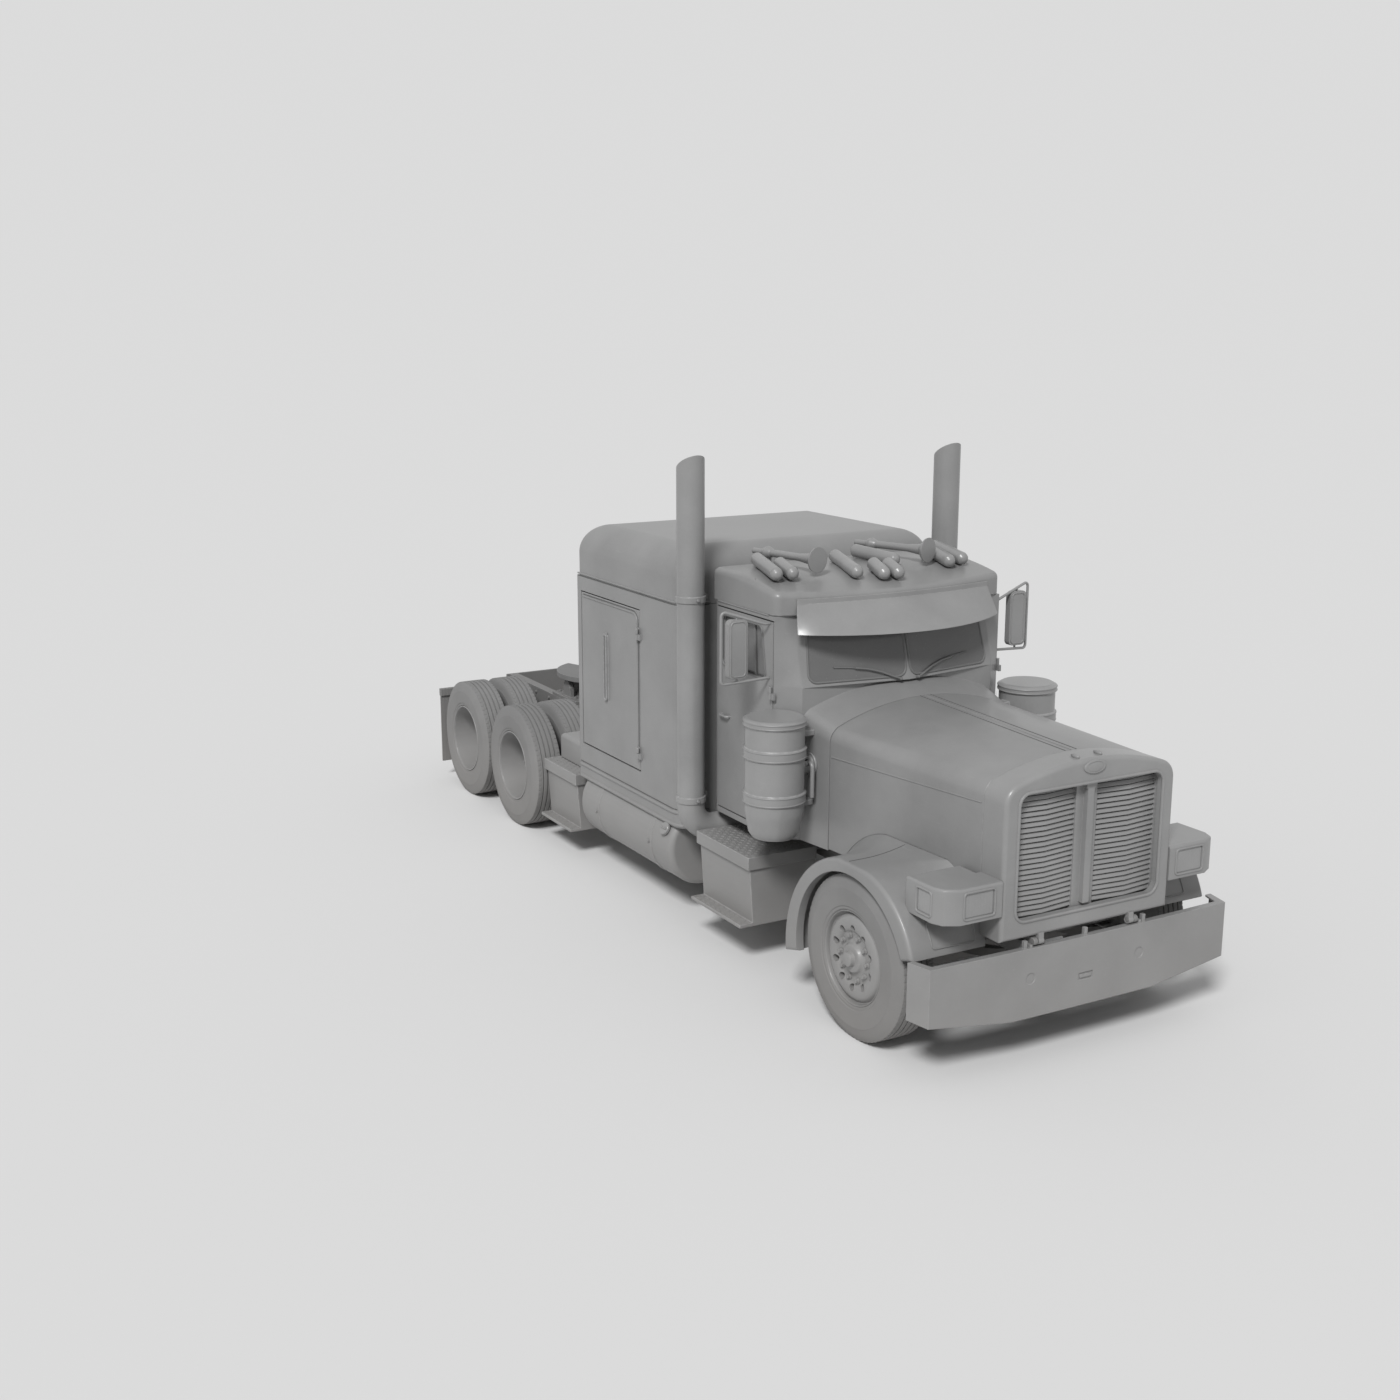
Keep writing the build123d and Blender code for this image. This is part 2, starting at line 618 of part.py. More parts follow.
with BuildPart() as front_bumper:
    extrude(bumper_plan(0, BUMPER_WRAP), amount=BUMPER_TOP - BUMPER_BASE)
    extrude(
        bumper_plan(BUMPER_T, BUMPER_WRAP + 1),
        amount=BUMPER_TOP - BUMPER_BASE - BUMPER_LIP_T,
        mode=Mode.SUBTRACT,
    )
    extrude(
        bumper_plan(BUMPER_LIP, BUMPER_WRAP + 1),
        amount=BUMPER_TOP - BUMPER_BASE,
        mode=Mode.SUBTRACT,
    )
    for side in (1, -1):
        with BuildSketch(across(BUMPER_WRAP)):
            with BuildLine():
                Polyline(
                    (side * BUMPER_FLAT, BUMPER_BASE),
                    (side * (BUMPER_WRAP_W + 20), BUMPER_BASE),
                    (side * (BUMPER_WRAP_W + 20), BUMPER_END_BASE),
                    close=True,
                )
            make_face()
        extrude(amount=BUMPER_WRAP + FRONT_OVERHANG, mode=Mode.SUBTRACT)
        arm_front = BUMPER_T - 2.0 - FRONT_OVERHANG
        arm_x = side * (RAIL_X + BUMPER_ARM_T / 2)
        with Locations((arm_x, at((BUMPER_ARM_BACK + arm_front) / 2), BUMPER_ARM_Z)):
            Box(BUMPER_ARM_T, BUMPER_ARM_BACK - arm_front, BUMPER_ARM_H)
    with BuildSketch(across(DIMPLE_DEPTH - FRONT_OVERHANG)):
        with Locations((DIMPLE_X, DIMPLE_Z), (-DIMPLE_X, DIMPLE_Z)):
            Circle(DIMPLE_R)
        with Locations((0, SLOT_Z)):
            Rectangle(SLOT_W, SLOT_H)
            Rectangle(SLOT_W - 24, SLOT_H - 24, mode=Mode.SUBTRACT)
    extrude(amount=DIMPLE_DEPTH, mode=Mode.SUBTRACT)
    for x in STAY_XS:
        with Locations((x, at(HOOD_PIVOT), BUMPER_TOP + STAY_H / 2)):
            Box(STAY_W, STAY_W, STAY_H)
save(front_bumper, "front_bumper")

# Grille surround: the nose's thick rounded frame, open behind its front flange
with BuildPart() as grille_surround:
    outline = arched_section(SHELL_BACK, SHELL_W, SHELL_BASE, SHELL_CROWN)
    extrude(outline, amount=SHELL_BACK - NOSE_FACE)
    fillet(grille_surround.faces().sort_by(Axis.Y)[0].edges(), SHELL_EDGE_R)
    cavity = arched_section(
        SHELL_BACK, SHELL_W, SHELL_BASE, SHELL_CROWN, SHELL_WALL
    )
    extrude(cavity, amount=SHELL_BACK - NOSE_FACE - SHELL_FLANGE, mode=Mode.SUBTRACT)
    with BuildSketch(across(SHELL_BACK)):
        with Locations((0, (OPENING_BASE + OPENING_TOP) / 2)):
            RectangleRounded(2 * OPENING_W, OPENING_TOP - OPENING_BASE, OPENING_R)
    extrude(amount=SHELL_BACK - NOSE_FACE, mode=Mode.SUBTRACT)
    for side in (1, -1):
        with BuildSketch(Plane.YZ.offset(side * HOOD_LUG_X)):
            with Locations((at(HOOD_PIVOT), (HOOD_PIVOT_Z + SHELL_BASE + 20) / 2)):
                Rectangle(2 * HOOD_LUG_R - 12, SHELL_BASE + 20 - HOOD_PIVOT_Z)
            with Locations((at(HOOD_PIVOT), HOOD_PIVOT_Z)):
                Circle(HOOD_LUG_R)
            with Locations((at(HOOD_PIVOT), HOOD_PIVOT_Z)):
                Circle(HOOD_PIN_R + SHAFT_FIT, mode=Mode.SUBTRACT)
        extrude(amount=HOOD_LUG_T / 2, both=True)
save(grille_surround, "grille_surround")

# Grille: bent slats between end posts, each leaning out at its lower edge, with a plain divider
# and a raised, capped bar down the middle, seated against the back of the surround's flange
SLATS = 24
SLAT_H = 24.0
SLAT_T = 8.0
SLAT_BEND = 26.0
SLAT_LEAN = 14.0
SLAT_SET = 36.0
SLAT_ROOT = 4.0
GRILLE_DEPTH = 46.0
GRILLE_W = OPENING_W + 22.0
GRILLE_BASE = OPENING_BASE - 20.0
GRILLE_TOP = OPENING_TOP + 16.0
GRILLE_FACE = NOSE_FACE + SHELL_FLANGE
POST_W = 16.0
DIVIDER_W = 84.0
DIVIDER_T = 34.0
DIVIDER_BAR_W = 26.0
DIVIDER_BAR_T = 74.0
DIVIDER_BAR_GAP = 40.0
DIVIDER_CAP_W = 36.0
DIVIDER_CAP_H = 34.0


def slat_plan(z, side, lead):
    """Plan of one slat at a height: a strip kinked forward at its middle."""
    inner = side * (DIVIDER_W - SLAT_ROOT)
    outer = side * (GRILLE_W - SLAT_ROOT)
    middle = (inner + outer) / 2
    face = at(GRILLE_FACE) + SLAT_SET - lead
    with BuildSketch(Plane.XY.offset(z)) as plan:
        with BuildLine():
            Polyline(
                (inner, face),
                (middle, face - SLAT_BEND),
                (outer, face),
                (outer, face + SLAT_T),
                (middle, face + SLAT_T - SLAT_BEND),
                (inner, face + SLAT_T),
                close=True,
            )
        make_face()
    return plan.sketch


with BuildPart() as grille_bars:
    pitch = (OPENING_TOP - OPENING_BASE) / SLATS
    for row in range(SLATS):
        z = OPENING_BASE + (row + 0.5) * pitch
        for side in (1, -1):
            loft([slat_plan(z - SLAT_H / 2, side, SLAT_LEAN), slat_plan(z + SLAT_H / 2, side, 0)])
    post_z = (GRILLE_BASE + GRILLE_TOP) / 2
    post_h = GRILLE_TOP - GRILLE_BASE
    back_y = at(GRILLE_FACE) + GRILLE_DEPTH
    for side in (1, -1):
        with Locations((side * (GRILLE_W - POST_W / 2), back_y - GRILLE_DEPTH / 2, post_z)):
            Box(POST_W, GRILLE_DEPTH, post_h)
    with Locations((0, back_y - DIVIDER_T / 2, post_z)):
        Box(2 * DIVIDER_W, DIVIDER_T, post_h)
    with Locations((0, back_y - DIVIDER_BAR_T / 2, (OPENING_BASE + OPENING_TOP) / 2)):
        Box(2 * DIVIDER_BAR_W, DIVIDER_BAR_T, OPENING_TOP - OPENING_BASE - DIVIDER_BAR_GAP)
    with Locations((0, back_y - DIVIDER_BAR_T / 2, OPENING_TOP - DIVIDER_CAP_H / 2 - 2)):
        Box(2 * DIVIDER_CAP_W, DIVIDER_BAR_T, DIVIDER_CAP_H)
save(grille_bars, "grille_bars")

# Hood: a tapering shell from the grille surround back to the cowl
hood_front = arched_section(SHELL_BACK, SHELL_W, HOOD_BASE, SHELL_CROWN)
hood_rear = arched_section(HOOD_BACK, HOOD_BACK_W, HOOD_BASE, HOOD_CROWN)
hollow_front = arched_section(SHELL_BACK, SHELL_W, SHELL_BASE, SHELL_CROWN, HOOD_T)
hollow_rear = arched_section(HOOD_BACK, HOOD_BACK_W, SHELL_BASE, HOOD_CROWN, HOOD_T)


# the fender's side outline, front foot to back foot
# columns: station and height on the rim, station and height where it runs into the hood's side
FENDER_TABLE = (
    (-664.0, 754.0, -664.0, 754.0),
    (-500.0, 1015.0, -520.0, 1080.0),
    (-60.0, 1177.0, -300.0, 1215.0),
    (150.0, 1177.0, 270.0, 1230.0),
    (590.0, 905.0, 640.0, 1060.0),
    (750.0, 350.0, 790.0, 350.0),
)
FENDER_EDGE_R = 28.0
COVE_OUT = 1060.0
COVE_W = 340.0
COVE_SECTIONS = 5
# as the hood tilts, nothing on this circle about its pivot meets the cowl
TILT_R = hypot(HOOD_BACK - HOOD_PIVOT, CAB_BASE - HOOD_PIVOT_Z)


def fender_outline(x, rise):
    """Side outline of a fender: rise 0 is its rim, 1 the line along the hood's side."""
    line = [(at(s + rise * (hood_s - s)), z + rise * (hood_z - z)) for s, z, hood_s, hood_z in FENDER_TABLE]
    with BuildSketch(Plane.YZ.offset(x)) as outline:
        with BuildLine():
            front = ThreePointArc(line[0], line[1], line[2])
            top = Line(front @ 1, line[3])
            rear = ThreePointArc(top @ 1, line[4], line[5])
            Line(rear @ 1, front @ 0)
        make_face()
    return outline.sketch


# The left fender's outer form, filled: a cove sweeps up from the rim into the hood's side
with BuildPart() as fender_form:
    sections = []
    for k in range(COVE_SECTIONS):
        section_x = FENDER_IN + (COVE_OUT - FENDER_IN) * k / (COVE_SECTIONS - 1)
        sections.append(fender_outline(section_x, ((COVE_OUT - section_x) / COVE_W) ** 2))
    loft(sections)
    extrude(fender_outline(COVE_OUT, 0), amount=FENDER_OUT - COVE_OUT)
    with BuildSketch(Plane.YZ.offset(FENDER_IN)):
        with Locations((at(HOOD_PIVOT), HOOD_PIVOT_Z)):
            Circle(TILT_R)
    extrude(amount=FENDER_OUT - FENDER_IN, mode=Mode.INTERSECT)
    extrude(arched_section(SHELL_BACK, SHELL_W, SHELL_BASE, SHELL_CROWN), amount=SHELL_L, mode=Mode.SUBTRACT)

with BuildPart() as hood_shell:
    loft([hood_front, hood_rear])
    loft([hollow_front, hollow_rear], mode=Mode.SUBTRACT)
    add(fender_form.part, mode=Mode.SUBTRACT)
    add(fender_form.part.mirror(Plane.YZ), mode=Mode.SUBTRACT)
save(hood_shell, "hood_shell")

# Fenders: arched over the steered wheels, with a rolled outer lip
with BuildPart() as fenders:
    add(fender_form.part)
    with BuildSketch(Plane.YZ.offset(FENDER_IN)):
        with Locations((at(0), ARCH_Z)):
            Circle(ARCH_R)
    extrude(amount=FENDER_OUT - LIP_W - FENDER_IN, mode=Mode.SUBTRACT)
    with BuildSketch(Plane.YZ.offset(FENDER_OUT - LIP_W)):
        with Locations((at(0), ARCH_Z)):
            Circle(LIP_R)
    extrude(amount=LIP_W, mode=Mode.SUBTRACT)
    rim_edges = fenders.edges().group_by(Axis.X)[-1]
    rim_reach = (LIP_R + ARCH_R) / 2
    fillet(
        rim_edges.filter_by(lambda e: hypot(e.center().Y - at(0), e.center().Z - ARCH_Z) > rim_reach),
        FENDER_EDGE_R,
    )
    mirror(about=Plane.YZ)
save(fenders, "fenders")

# Headlamp pods: boxes beside the surround, their outer corners drawn back, on the fenders, with a
# lens let into the face and a smaller one into the side
POD_OUT = 1110.0
POD_BASE = 1008.0
POD_TOP = 1232.0
POD_FACE = NOSE_FACE
POD_L = 380.0
POD_BACK = POD_FACE + POD_L
POD_TURN = 120.0
POD_CORNER = (30.0, 50.0)
POD_EDGE_R = 18.0
POD_ROOT = 30.0
LENS_DEPTH = 14.0
LENS_T = 9.0
LENS_Z = (POD_BASE + POD_TOP) / 2
LENS_H = 150.0
LENS_IN = SHELL_W + 65.0
LENS_OUT = LENS_IN + 215.0
SIDE_LENS_FRONT = POD_FACE + POD_TURN + 15.0
SIDE_LENS_L = 130.0
SIDE_LENS_H = 140.0


def lens_outline(shrink):
    """The front lens on its seat in the pod's face."""
    with BuildSketch(across(POD_FACE + LENS_DEPTH)) as lens:
        with Locations(((LENS_IN + LENS_OUT) / 2, LENS_Z)):
            Rectangle(LENS_OUT - LENS_IN - 2 * shrink, LENS_H - 2 * shrink)
    return lens.sketch


def side_lens_outline(shrink):
    """The side lens on its seat in the pod's outer wall."""
    with BuildSketch(Plane.YZ.offset(POD_OUT - LENS_DEPTH)) as lens:
        with Locations((at(SIDE_LENS_FRONT + SIDE_LENS_L / 2), LENS_Z)):
            Rectangle(SIDE_LENS_L - 2 * shrink, SIDE_LENS_H - 2 * shrink)
    return lens.sketch


with BuildPart() as headlamp_pods:
    with BuildSketch(Plane.XY.offset(POD_BASE)):
        with BuildLine():
            Polyline(
                (SHELL_W, at(POD_FACE)),
                (POD_OUT - POD_TURN, at(POD_FACE)),
                (POD_OUT - POD_CORNER[0], at(POD_FACE) + POD_CORNER[1]),
                (POD_OUT, at(POD_FACE) + POD_TURN),
                (POD_OUT, at(POD_BACK)),
                (SHELL_W + POD_ROOT, at(POD_BACK)),
                (SHELL_W + POD_ROOT, at(SHELL_BACK)),
                (SHELL_W, at(SHELL_BACK)),
                close=True,
            )
        make_face()
    extrude(amount=POD_TOP - POD_BASE)
    fillet(headlamp_pods.edges().group_by(Axis.Z)[-1].sort_by(Axis.X)[2:], POD_EDGE_R)
    add(fender_form.part, mode=Mode.SUBTRACT)
    extrude(lens_outline(0), amount=LENS_DEPTH, mode=Mode.SUBTRACT)
    extrude(side_lens_outline(0), amount=LENS_DEPTH, mode=Mode.SUBTRACT)
    mirror(about=Plane.YZ)
save(headlamp_pods, "headlamp_pods")
with BuildPart() as headlamp_lenses:
    extrude(lens_outline(SEAT_FIT), amount=LENS_T)
    extrude(side_lens_outline(SEAT_FIT), amount=LENS_T)
    mirror(about=Plane.YZ)
save(headlamp_lenses, "headlamp_lenses")

# Cab: a cowl that carries the hood's outline back to the windshield, upright sides with door
# openings, and a raked front with two flat panes that meet at a centre post
COWL_CROWN = CAB_BELT + 12.0
COWL_FLOOR = CAB_BASE + 90.0
SCREEN_RAKE = 130.0
SCREEN_VEE = 117.0
SCREEN_FOOT = PILLAR_STATION - SCREEN_VEE
SCREEN_HEAD = SCREEN_FOOT + SCREEN_RAKE
PILLAR_HEAD = SCREEN_HEAD + 112.0
SCREEN_LEDGE = 60.0
CAB_CORNER = 120.0
CAB_SIDE_FRONT = DOOR_HINGE - DOOR_GAP - 2.0


def cab_plan(z, front, pillar, inset):
    """Plan of the cab above the belt: a vee front, pillars and upright sides."""
    side_w = CAB_W - inset
    pillar_w = PILLAR_W - inset
    with BuildSketch(Plane.XY.offset(z)) as plan:
        with BuildLine():
            Polyline(
                (0, at(front) + inset),
                (pillar_w, at(pillar) + inset),
                (side_w, at(CAB_SIDE_FRONT)),
                (side_w, at(CAB_BACK) - inset),
                (-side_w, at(CAB_BACK) - inset),
                (-side_w, at(CAB_SIDE_FRONT)),
                (-pillar_w, at(pillar) + inset),
                close=True,
            )
        make_face()
    return plan.sketch


def pane_plane(side):
    """Plane of one windshield pane, its origin at the foot of the centre post."""
    foot = Vector(0, at(SCREEN_FOOT), CAB_BELT)
    outer = Vector(side * PILLAR_W, at(PILLAR_STATION), CAB_BELT)
    head = Vector(0, at(SCREEN_HEAD), CAB_ROOF_SEAM)
    along = (outer - foot).normalized()
    return Plane(origin=foot, x_dir=along, z_dir=along.cross(head - foot) * side)


PANE_IN = 28.0
PANE_OUT = PILLAR_W - 47.0
PANE_BASE = 35.0
PANE_TOP = SCREEN_H - PANE_BASE
PANE_LEAN = 22.0
PANE_R = 60.0
PANE_CUT = 160.0


def pane_outline(side, shrink):
    """Outline of one pane on its plane, narrower at the head."""
    with BuildSketch(pane_plane(side)) as pane:
        with BuildLine():
            FilletPolyline(
                (PANE_IN + shrink, (PANE_BASE + shrink) * side),
                (PANE_OUT - shrink, (PANE_BASE + shrink) * side),
                (PANE_OUT - PANE_LEAN - shrink, (PANE_TOP - shrink) * side),
                (PANE_IN + shrink, (PANE_TOP - shrink) * side),
                close=True,
                radius=PANE_R - shrink,
            )
        make_face()
    return pane.sketch


DOOR_HINGES = (DOOR_BASE + 180.0, CAB_BELT - 40.0)
BUNK_HINGES = (BUNK_DOOR_BASE + 140.0, BUNK_DOOR_TOP - 180.0)
HINGE_LEAF_SET = 25.0
with BuildPart() as cab_body:
    cowl_front = arched_section(COWL_FRONT, HOOD_BACK_W, CAB_BASE, HOOD_CROWN)
    cowl_back = arched_section(PILLAR_STATION, PILLAR_W, CAB_BASE, COWL_CROWN)
    loft([cowl_front, cowl_back])
    extrude(cab_plan(CAB_BASE, SCREEN_FOOT + SCREEN_LEDGE, PILLAR_STATION, 0), amount=CAB_BELT - CAB_BASE)
    loft(
        [
            cab_plan(CAB_BELT, SCREEN_FOOT, PILLAR_STATION, 0),
            cab_plan(CAB_ROOF_SEAM, SCREEN_HEAD, PILLAR_HEAD, 0),
        ]
    )
    fillet(
        cab_body.edges().filter_by(Axis.Z).filter_by(lambda e: e.center().Y > at(CAB_BACK) - 1), CAB_CORNER
    )
    cavity_front = arched_section(COWL_FRONT + CAB_WALL, HOOD_BACK_W, COWL_FLOOR, HOOD_CROWN, CAB_WALL)
    cavity_back = arched_section(PILLAR_STATION + SCREEN_LEDGE, PILLAR_W, COWL_FLOOR, COWL_CROWN, CAB_WALL)
    loft([cavity_front, cavity_back], mode=Mode.SUBTRACT)
    extrude(
        cab_plan(CAB_BASE + CAB_WALL, SCREEN_FOOT + SCREEN_LEDGE, PILLAR_STATION, CAB_WALL),
        amount=CAB_BELT - CAB_BASE - CAB_WALL,
        mode=Mode.SUBTRACT,
    )
    loft(
        [
            cab_plan(CAB_BELT, SCREEN_FOOT, PILLAR_STATION, CAB_WALL),
            cab_plan(CAB_ROOF_SEAM, SCREEN_HEAD, PILLAR_HEAD, CAB_WALL),
        ],
        mode=Mode.SUBTRACT,
    )
    for side in (1, -1):
        extrude(pane_outline(side, 0), amount=PANE_CUT, both=True, mode=Mode.SUBTRACT)
        with BuildSketch(Plane.YZ.offset(side * CAB_W)):
            with Locations((at((DOOR_HINGE + DOOR_END) / 2), (DOOR_BASE + DOOR_TOP) / 2)):
                Rectangle(DOOR_END - DOOR_HINGE + 2 * DOOR_GAP, DOOR_TOP - DOOR_BASE + 2 * DOOR_GAP)
        extrude(amount=-side * 2 * DOOR_T, mode=Mode.SUBTRACT)
        for z in DOOR_HINGES:
            with Locations((side * (CAB_W + HINGE_PROUD), at(DOOR_HINGE), z - HINGE_H / 2)):
                Cylinder(HINGE_R, HINGE_H)
            leaf_x = side * (CAB_W + HINGE_PROUD / 2)
            with Locations((leaf_x, at(DOOR_HINGE) - HINGE_LEAF_SET, z - HINGE_H / 2)):
                Box(HINGE_PROUD, HINGE_LEAF, HINGE_H)
    with BuildSketch(across(CAB_BACK)):
        with Locations((0, (PASSAGE_BASE + PASSAGE_TOP) / 2)):
            RectangleRounded(2 * PASSAGE_W, PASSAGE_TOP - PASSAGE_BASE, PASSAGE_R)
    extrude(amount=2 * CAB_WALL, mode=Mode.SUBTRACT)
save(cab_body, "cab_body")

# Windshield panes
with BuildPart() as windshield:
    for side in (1, -1):
        extrude(pane_outline(side, SEAT_FIT), amount=GLASS_T / 2, both=True)
save(windshield, "windshield")

# Cab roof: a cap over the cab that falls in a curve towards the visor, hollow below
ROOF_FRONT = SCREEN_HEAD - 10.0
ROOF_FRONT_Z = CAB_ROOF_SEAM + 132.0
ROOF_BROW = ROOF_FRONT + 290.0
ROOF_BROW_Z = CAB_ROOF_TOP - 38.0
ROOF_BOW = CAB_SIDE_FRONT - ROOF_FRONT
ROOF_BOW_R = (CAB_W**2 + ROOF_BOW**2) / (2 * ROOF_BOW)
ROOF_CORNER = 70.0
ROOF_EDGE_R = 46.0
ROOF_HOLLOW_L = CAB_BACK - PILLAR_HEAD - 4 * CAB_WALL
with BuildPart() as cab_roof:
    with BuildSketch(Plane.XY.offset(CAB_ROOF_SEAM)):
        with BuildLine():
            front = ThreePointArc(
                (-CAB_W, at(CAB_SIDE_FRONT)), (0, at(ROOF_FRONT)), (CAB_W, at(CAB_SIDE_FRONT))
            )
            Polyline(front @ 1, (CAB_W, at(CAB_BACK)), (-CAB_W, at(CAB_BACK)), front @ 0)
        make_face()
    extrude(amount=CAB_ROOF_TOP - CAB_ROOF_SEAM)
    fillet(cab_roof.edges().filter_by(Axis.Z), ROOF_CORNER)
    with BuildSketch(Plane.YZ.offset(-CAB_W)):
        with BuildLine():
            brow = ThreePointArc(
                (at(ROOF_FRONT), ROOF_FRONT_Z), (at(ROOF_BROW), ROOF_BROW_Z), (at(CAB_BACK), CAB_ROOF_TOP)
            )
            Polyline(
                brow @ 1,
                (at(CAB_BACK), CAB_ROOF_SEAM),
                (at(ROOF_FRONT), CAB_ROOF_SEAM),
                brow @ 0,
            )
        make_face()
    extrude(amount=2 * CAB_W, mode=Mode.INTERSECT)
    fillet(cab_roof.faces().sort_by(Axis.Z)[-1].edges(), ROOF_EDGE_R)
    with BuildSketch(Plane.XY.offset(CAB_ROOF_SEAM)):
        with Locations((0, at((PILLAR_HEAD + CAB_BACK) / 2))):
            Rectangle(2 * CAB_W - 4 * CAB_WALL, ROOF_HOLLOW_L)
    extrude(amount=ROOF_FRONT_Z - CAB_ROOF_SEAM - CAB_WALL, mode=Mode.SUBTRACT)
save(cab_roof, "cab_roof")

# Sun visor: a bent sheet hung from the roof's front over the panes
VISOR_T = 12.0
VISOR_ROOT_Z = CAB_ROOF_SEAM + 80.0
VISOR_ROOT_H = 35.0
VISOR_TIP_Z = CAB_ROOF_SEAM - 115.0
VISOR_TIP = SCREEN_HEAD - 316.0
VISOR_TIP_END = PILLAR_HEAD - 127.0
VISOR_TIP_W = PILLAR_W + 45.0


def visor_section(z, middle, end, half_w):
    with BuildSketch(Plane.XY.offset(z)) as section:
        with BuildLine():
            outer = ThreePointArc((-half_w, at(end)), (0, at(middle)), (half_w, at(end)))
            inner = ThreePointArc(
                (half_w, at(end) + VISOR_T), (0, at(middle) + VISOR_T), (-half_w, at(end) + VISOR_T)
            )
            Line(outer @ 1, inner @ 0)
            Line(inner @ 1, outer @ 0)
        make_face()
    return section.sketch


with BuildPart() as sun_visor:
    root_middle = ROOF_FRONT - VISOR_T - SEAT_FIT
    root_end = root_middle + ROOF_BOW_R - sqrt(ROOF_BOW_R**2 - PILLAR_W**2)
    root = visor_section(VISOR_ROOT_Z, root_middle, root_end, PILLAR_W)
    loft([visor_section(VISOR_TIP_Z, VISOR_TIP, VISOR_TIP_END, VISOR_TIP_W), root])
    extrude(root, amount=VISOR_ROOT_H)
save(sun_visor, "sun_visor")


def door_panel(front, end, base, top, face_x, hinges, window):
    """Left-hand door: a slab flush with the wall, hinge barrels and a window where it has one."""
    with BuildPart() as door:
        with Locations((face_x - DOOR_T / 2, at((front + end) / 2), (base + top) / 2)):
            Box(DOOR_T, end - front, top - base)
        if window:
            with BuildSketch(Plane.YZ.offset(face_x)):
                with BuildLine():
                    FilletPolyline(*window, close=True, radius=WINDOW_R)
                make_face()
            extrude(amount=-DOOR_T, mode=Mode.SUBTRACT)
        for z in hinges:
            with Locations((face_x + HINGE_PROUD, at(front), z + SEAT_FIT + HINGE_H / 2)):
                Cylinder(HINGE_R, HINGE_H)
            leaf = (face_x + HINGE_PROUD / 2, at(front) + HINGE_LEAF_SET, z + SEAT_FIT + HINGE_H / 2)
            with Locations(leaf):
                Box(HINGE_PROUD, HINGE_LEAF, HINGE_H)
    return door


# Cab doors, their glass, and the mirrors that stand out from them on bent tubes
WINDOW_R = 45.0
WINDOW_SILL = CAB_BELT + 35.0
WINDOW_TOP = DOOR_TOP - 45.0
WINDOW_FRONT = DOOR_HINGE + 83.0
WINDOW_BACK = DOOR_END - 65.0
WINDOW_RAKE = 65.0
WINDOW_LINE = (
    (at(WINDOW_FRONT), WINDOW_SILL),
    (at(WINDOW_BACK), WINDOW_SILL),
    (at(WINDOW_BACK), WINDOW_TOP),
    (at(WINDOW_FRONT + WINDOW_RAKE), WINDOW_TOP),
)
MIRROR_STATION = DOOR_HINGE + 94.0
MIRROR_H = 508.0
MIRROR_BASE = WINDOW_SILL
MIRROR_TOP = MIRROR_BASE + MIRROR_H
MIRROR_ROOT = DOOR_HINGE + 43.0
MIRROR_ROOT_L = 40.0
MIRROR_FOOT_Z = MIRROR_BASE + 25.0
MIRROR_HEAD_Z = MIRROR_TOP - 105.0
MIRROR_TUBE_R = 10.0
MIRROR_BEND_R = 28.0
MIRROR_POST_R = 8.0
MIRROR_POST_H = 468.0
GLASS_IN = CAB_W + 165.0
GLASS_W = 150.0
GLASS_OUT = GLASS_IN + GLASS_W
GLASS_H = 410.0
MIRROR_X = GLASS_OUT + 40.0
GLASS_D = 52.0
GLASS_R = 38.0
door_left = door_panel(DOOR_HINGE, DOOR_END, DOOR_BASE, DOOR_TOP, CAB_W, DOOR_HINGES, WINDOW_LINE)
with BuildPart() as door_glass_left:
    with BuildSketch(Plane.YZ.offset(CAB_W - DOOR_T / 2)):
        with BuildLine():
            FilletPolyline(*WINDOW_LINE, close=True, radius=WINDOW_R)
        make_face()
        offset(amount=-SEAT_FIT)
    extrude(amount=GLASS_T / 2, both=True)
with BuildPart() as mirror_left:
    head_x = (GLASS_IN + GLASS_OUT) / 2
    head_z = (MIRROR_BASE + MIRROR_TOP) / 2 - 12
    with Locations((head_x, at(MIRROR_STATION) - 12, head_z)):
        Box(GLASS_W, GLASS_D, GLASS_H)
    fillet(mirror_left.edges().filter_by(Axis.Y), GLASS_R)
    with Locations((head_x, at(MIRROR_STATION) - 14, head_z)):
        Cylinder(MIRROR_POST_R, MIRROR_POST_H)
    with BuildLine() as bracket:
        FilletPolyline(
            (CAB_W, at(MIRROR_ROOT), MIRROR_FOOT_Z),
            (CAB_W + MIRROR_ROOT_L, at(MIRROR_ROOT), MIRROR_FOOT_Z),
            (MIRROR_X, at(MIRROR_STATION), MIRROR_BASE),
            (MIRROR_X, at(MIRROR_STATION), MIRROR_TOP),
            (CAB_W + MIRROR_ROOT_L, at(MIRROR_ROOT), MIRROR_HEAD_Z),
            (CAB_W, at(MIRROR_ROOT), MIRROR_HEAD_Z),
            radius=MIRROR_BEND_R,
        )
    with BuildSketch(Plane(origin=bracket.line @ 0, z_dir=bracket.line % 0)):
        Circle(MIRROR_TUBE_R)
    sweep(path=bracket.line)
for source, name in ((door_left, "door"), (door_glass_left, "door_glass"), (mirror_left, "mirror")):
    save(source, f"{name}_left")
    with BuildPart() as opposite:
        mirror(source.part, about=Plane.YZ)
    save(opposite, f"{name}_right")

# Sleeper: a box with round front corners, a skirt under its floor, a bunk door in each side and
# a passage forward, joined to the cab by a short boot
BOOT_WALL = 40.0


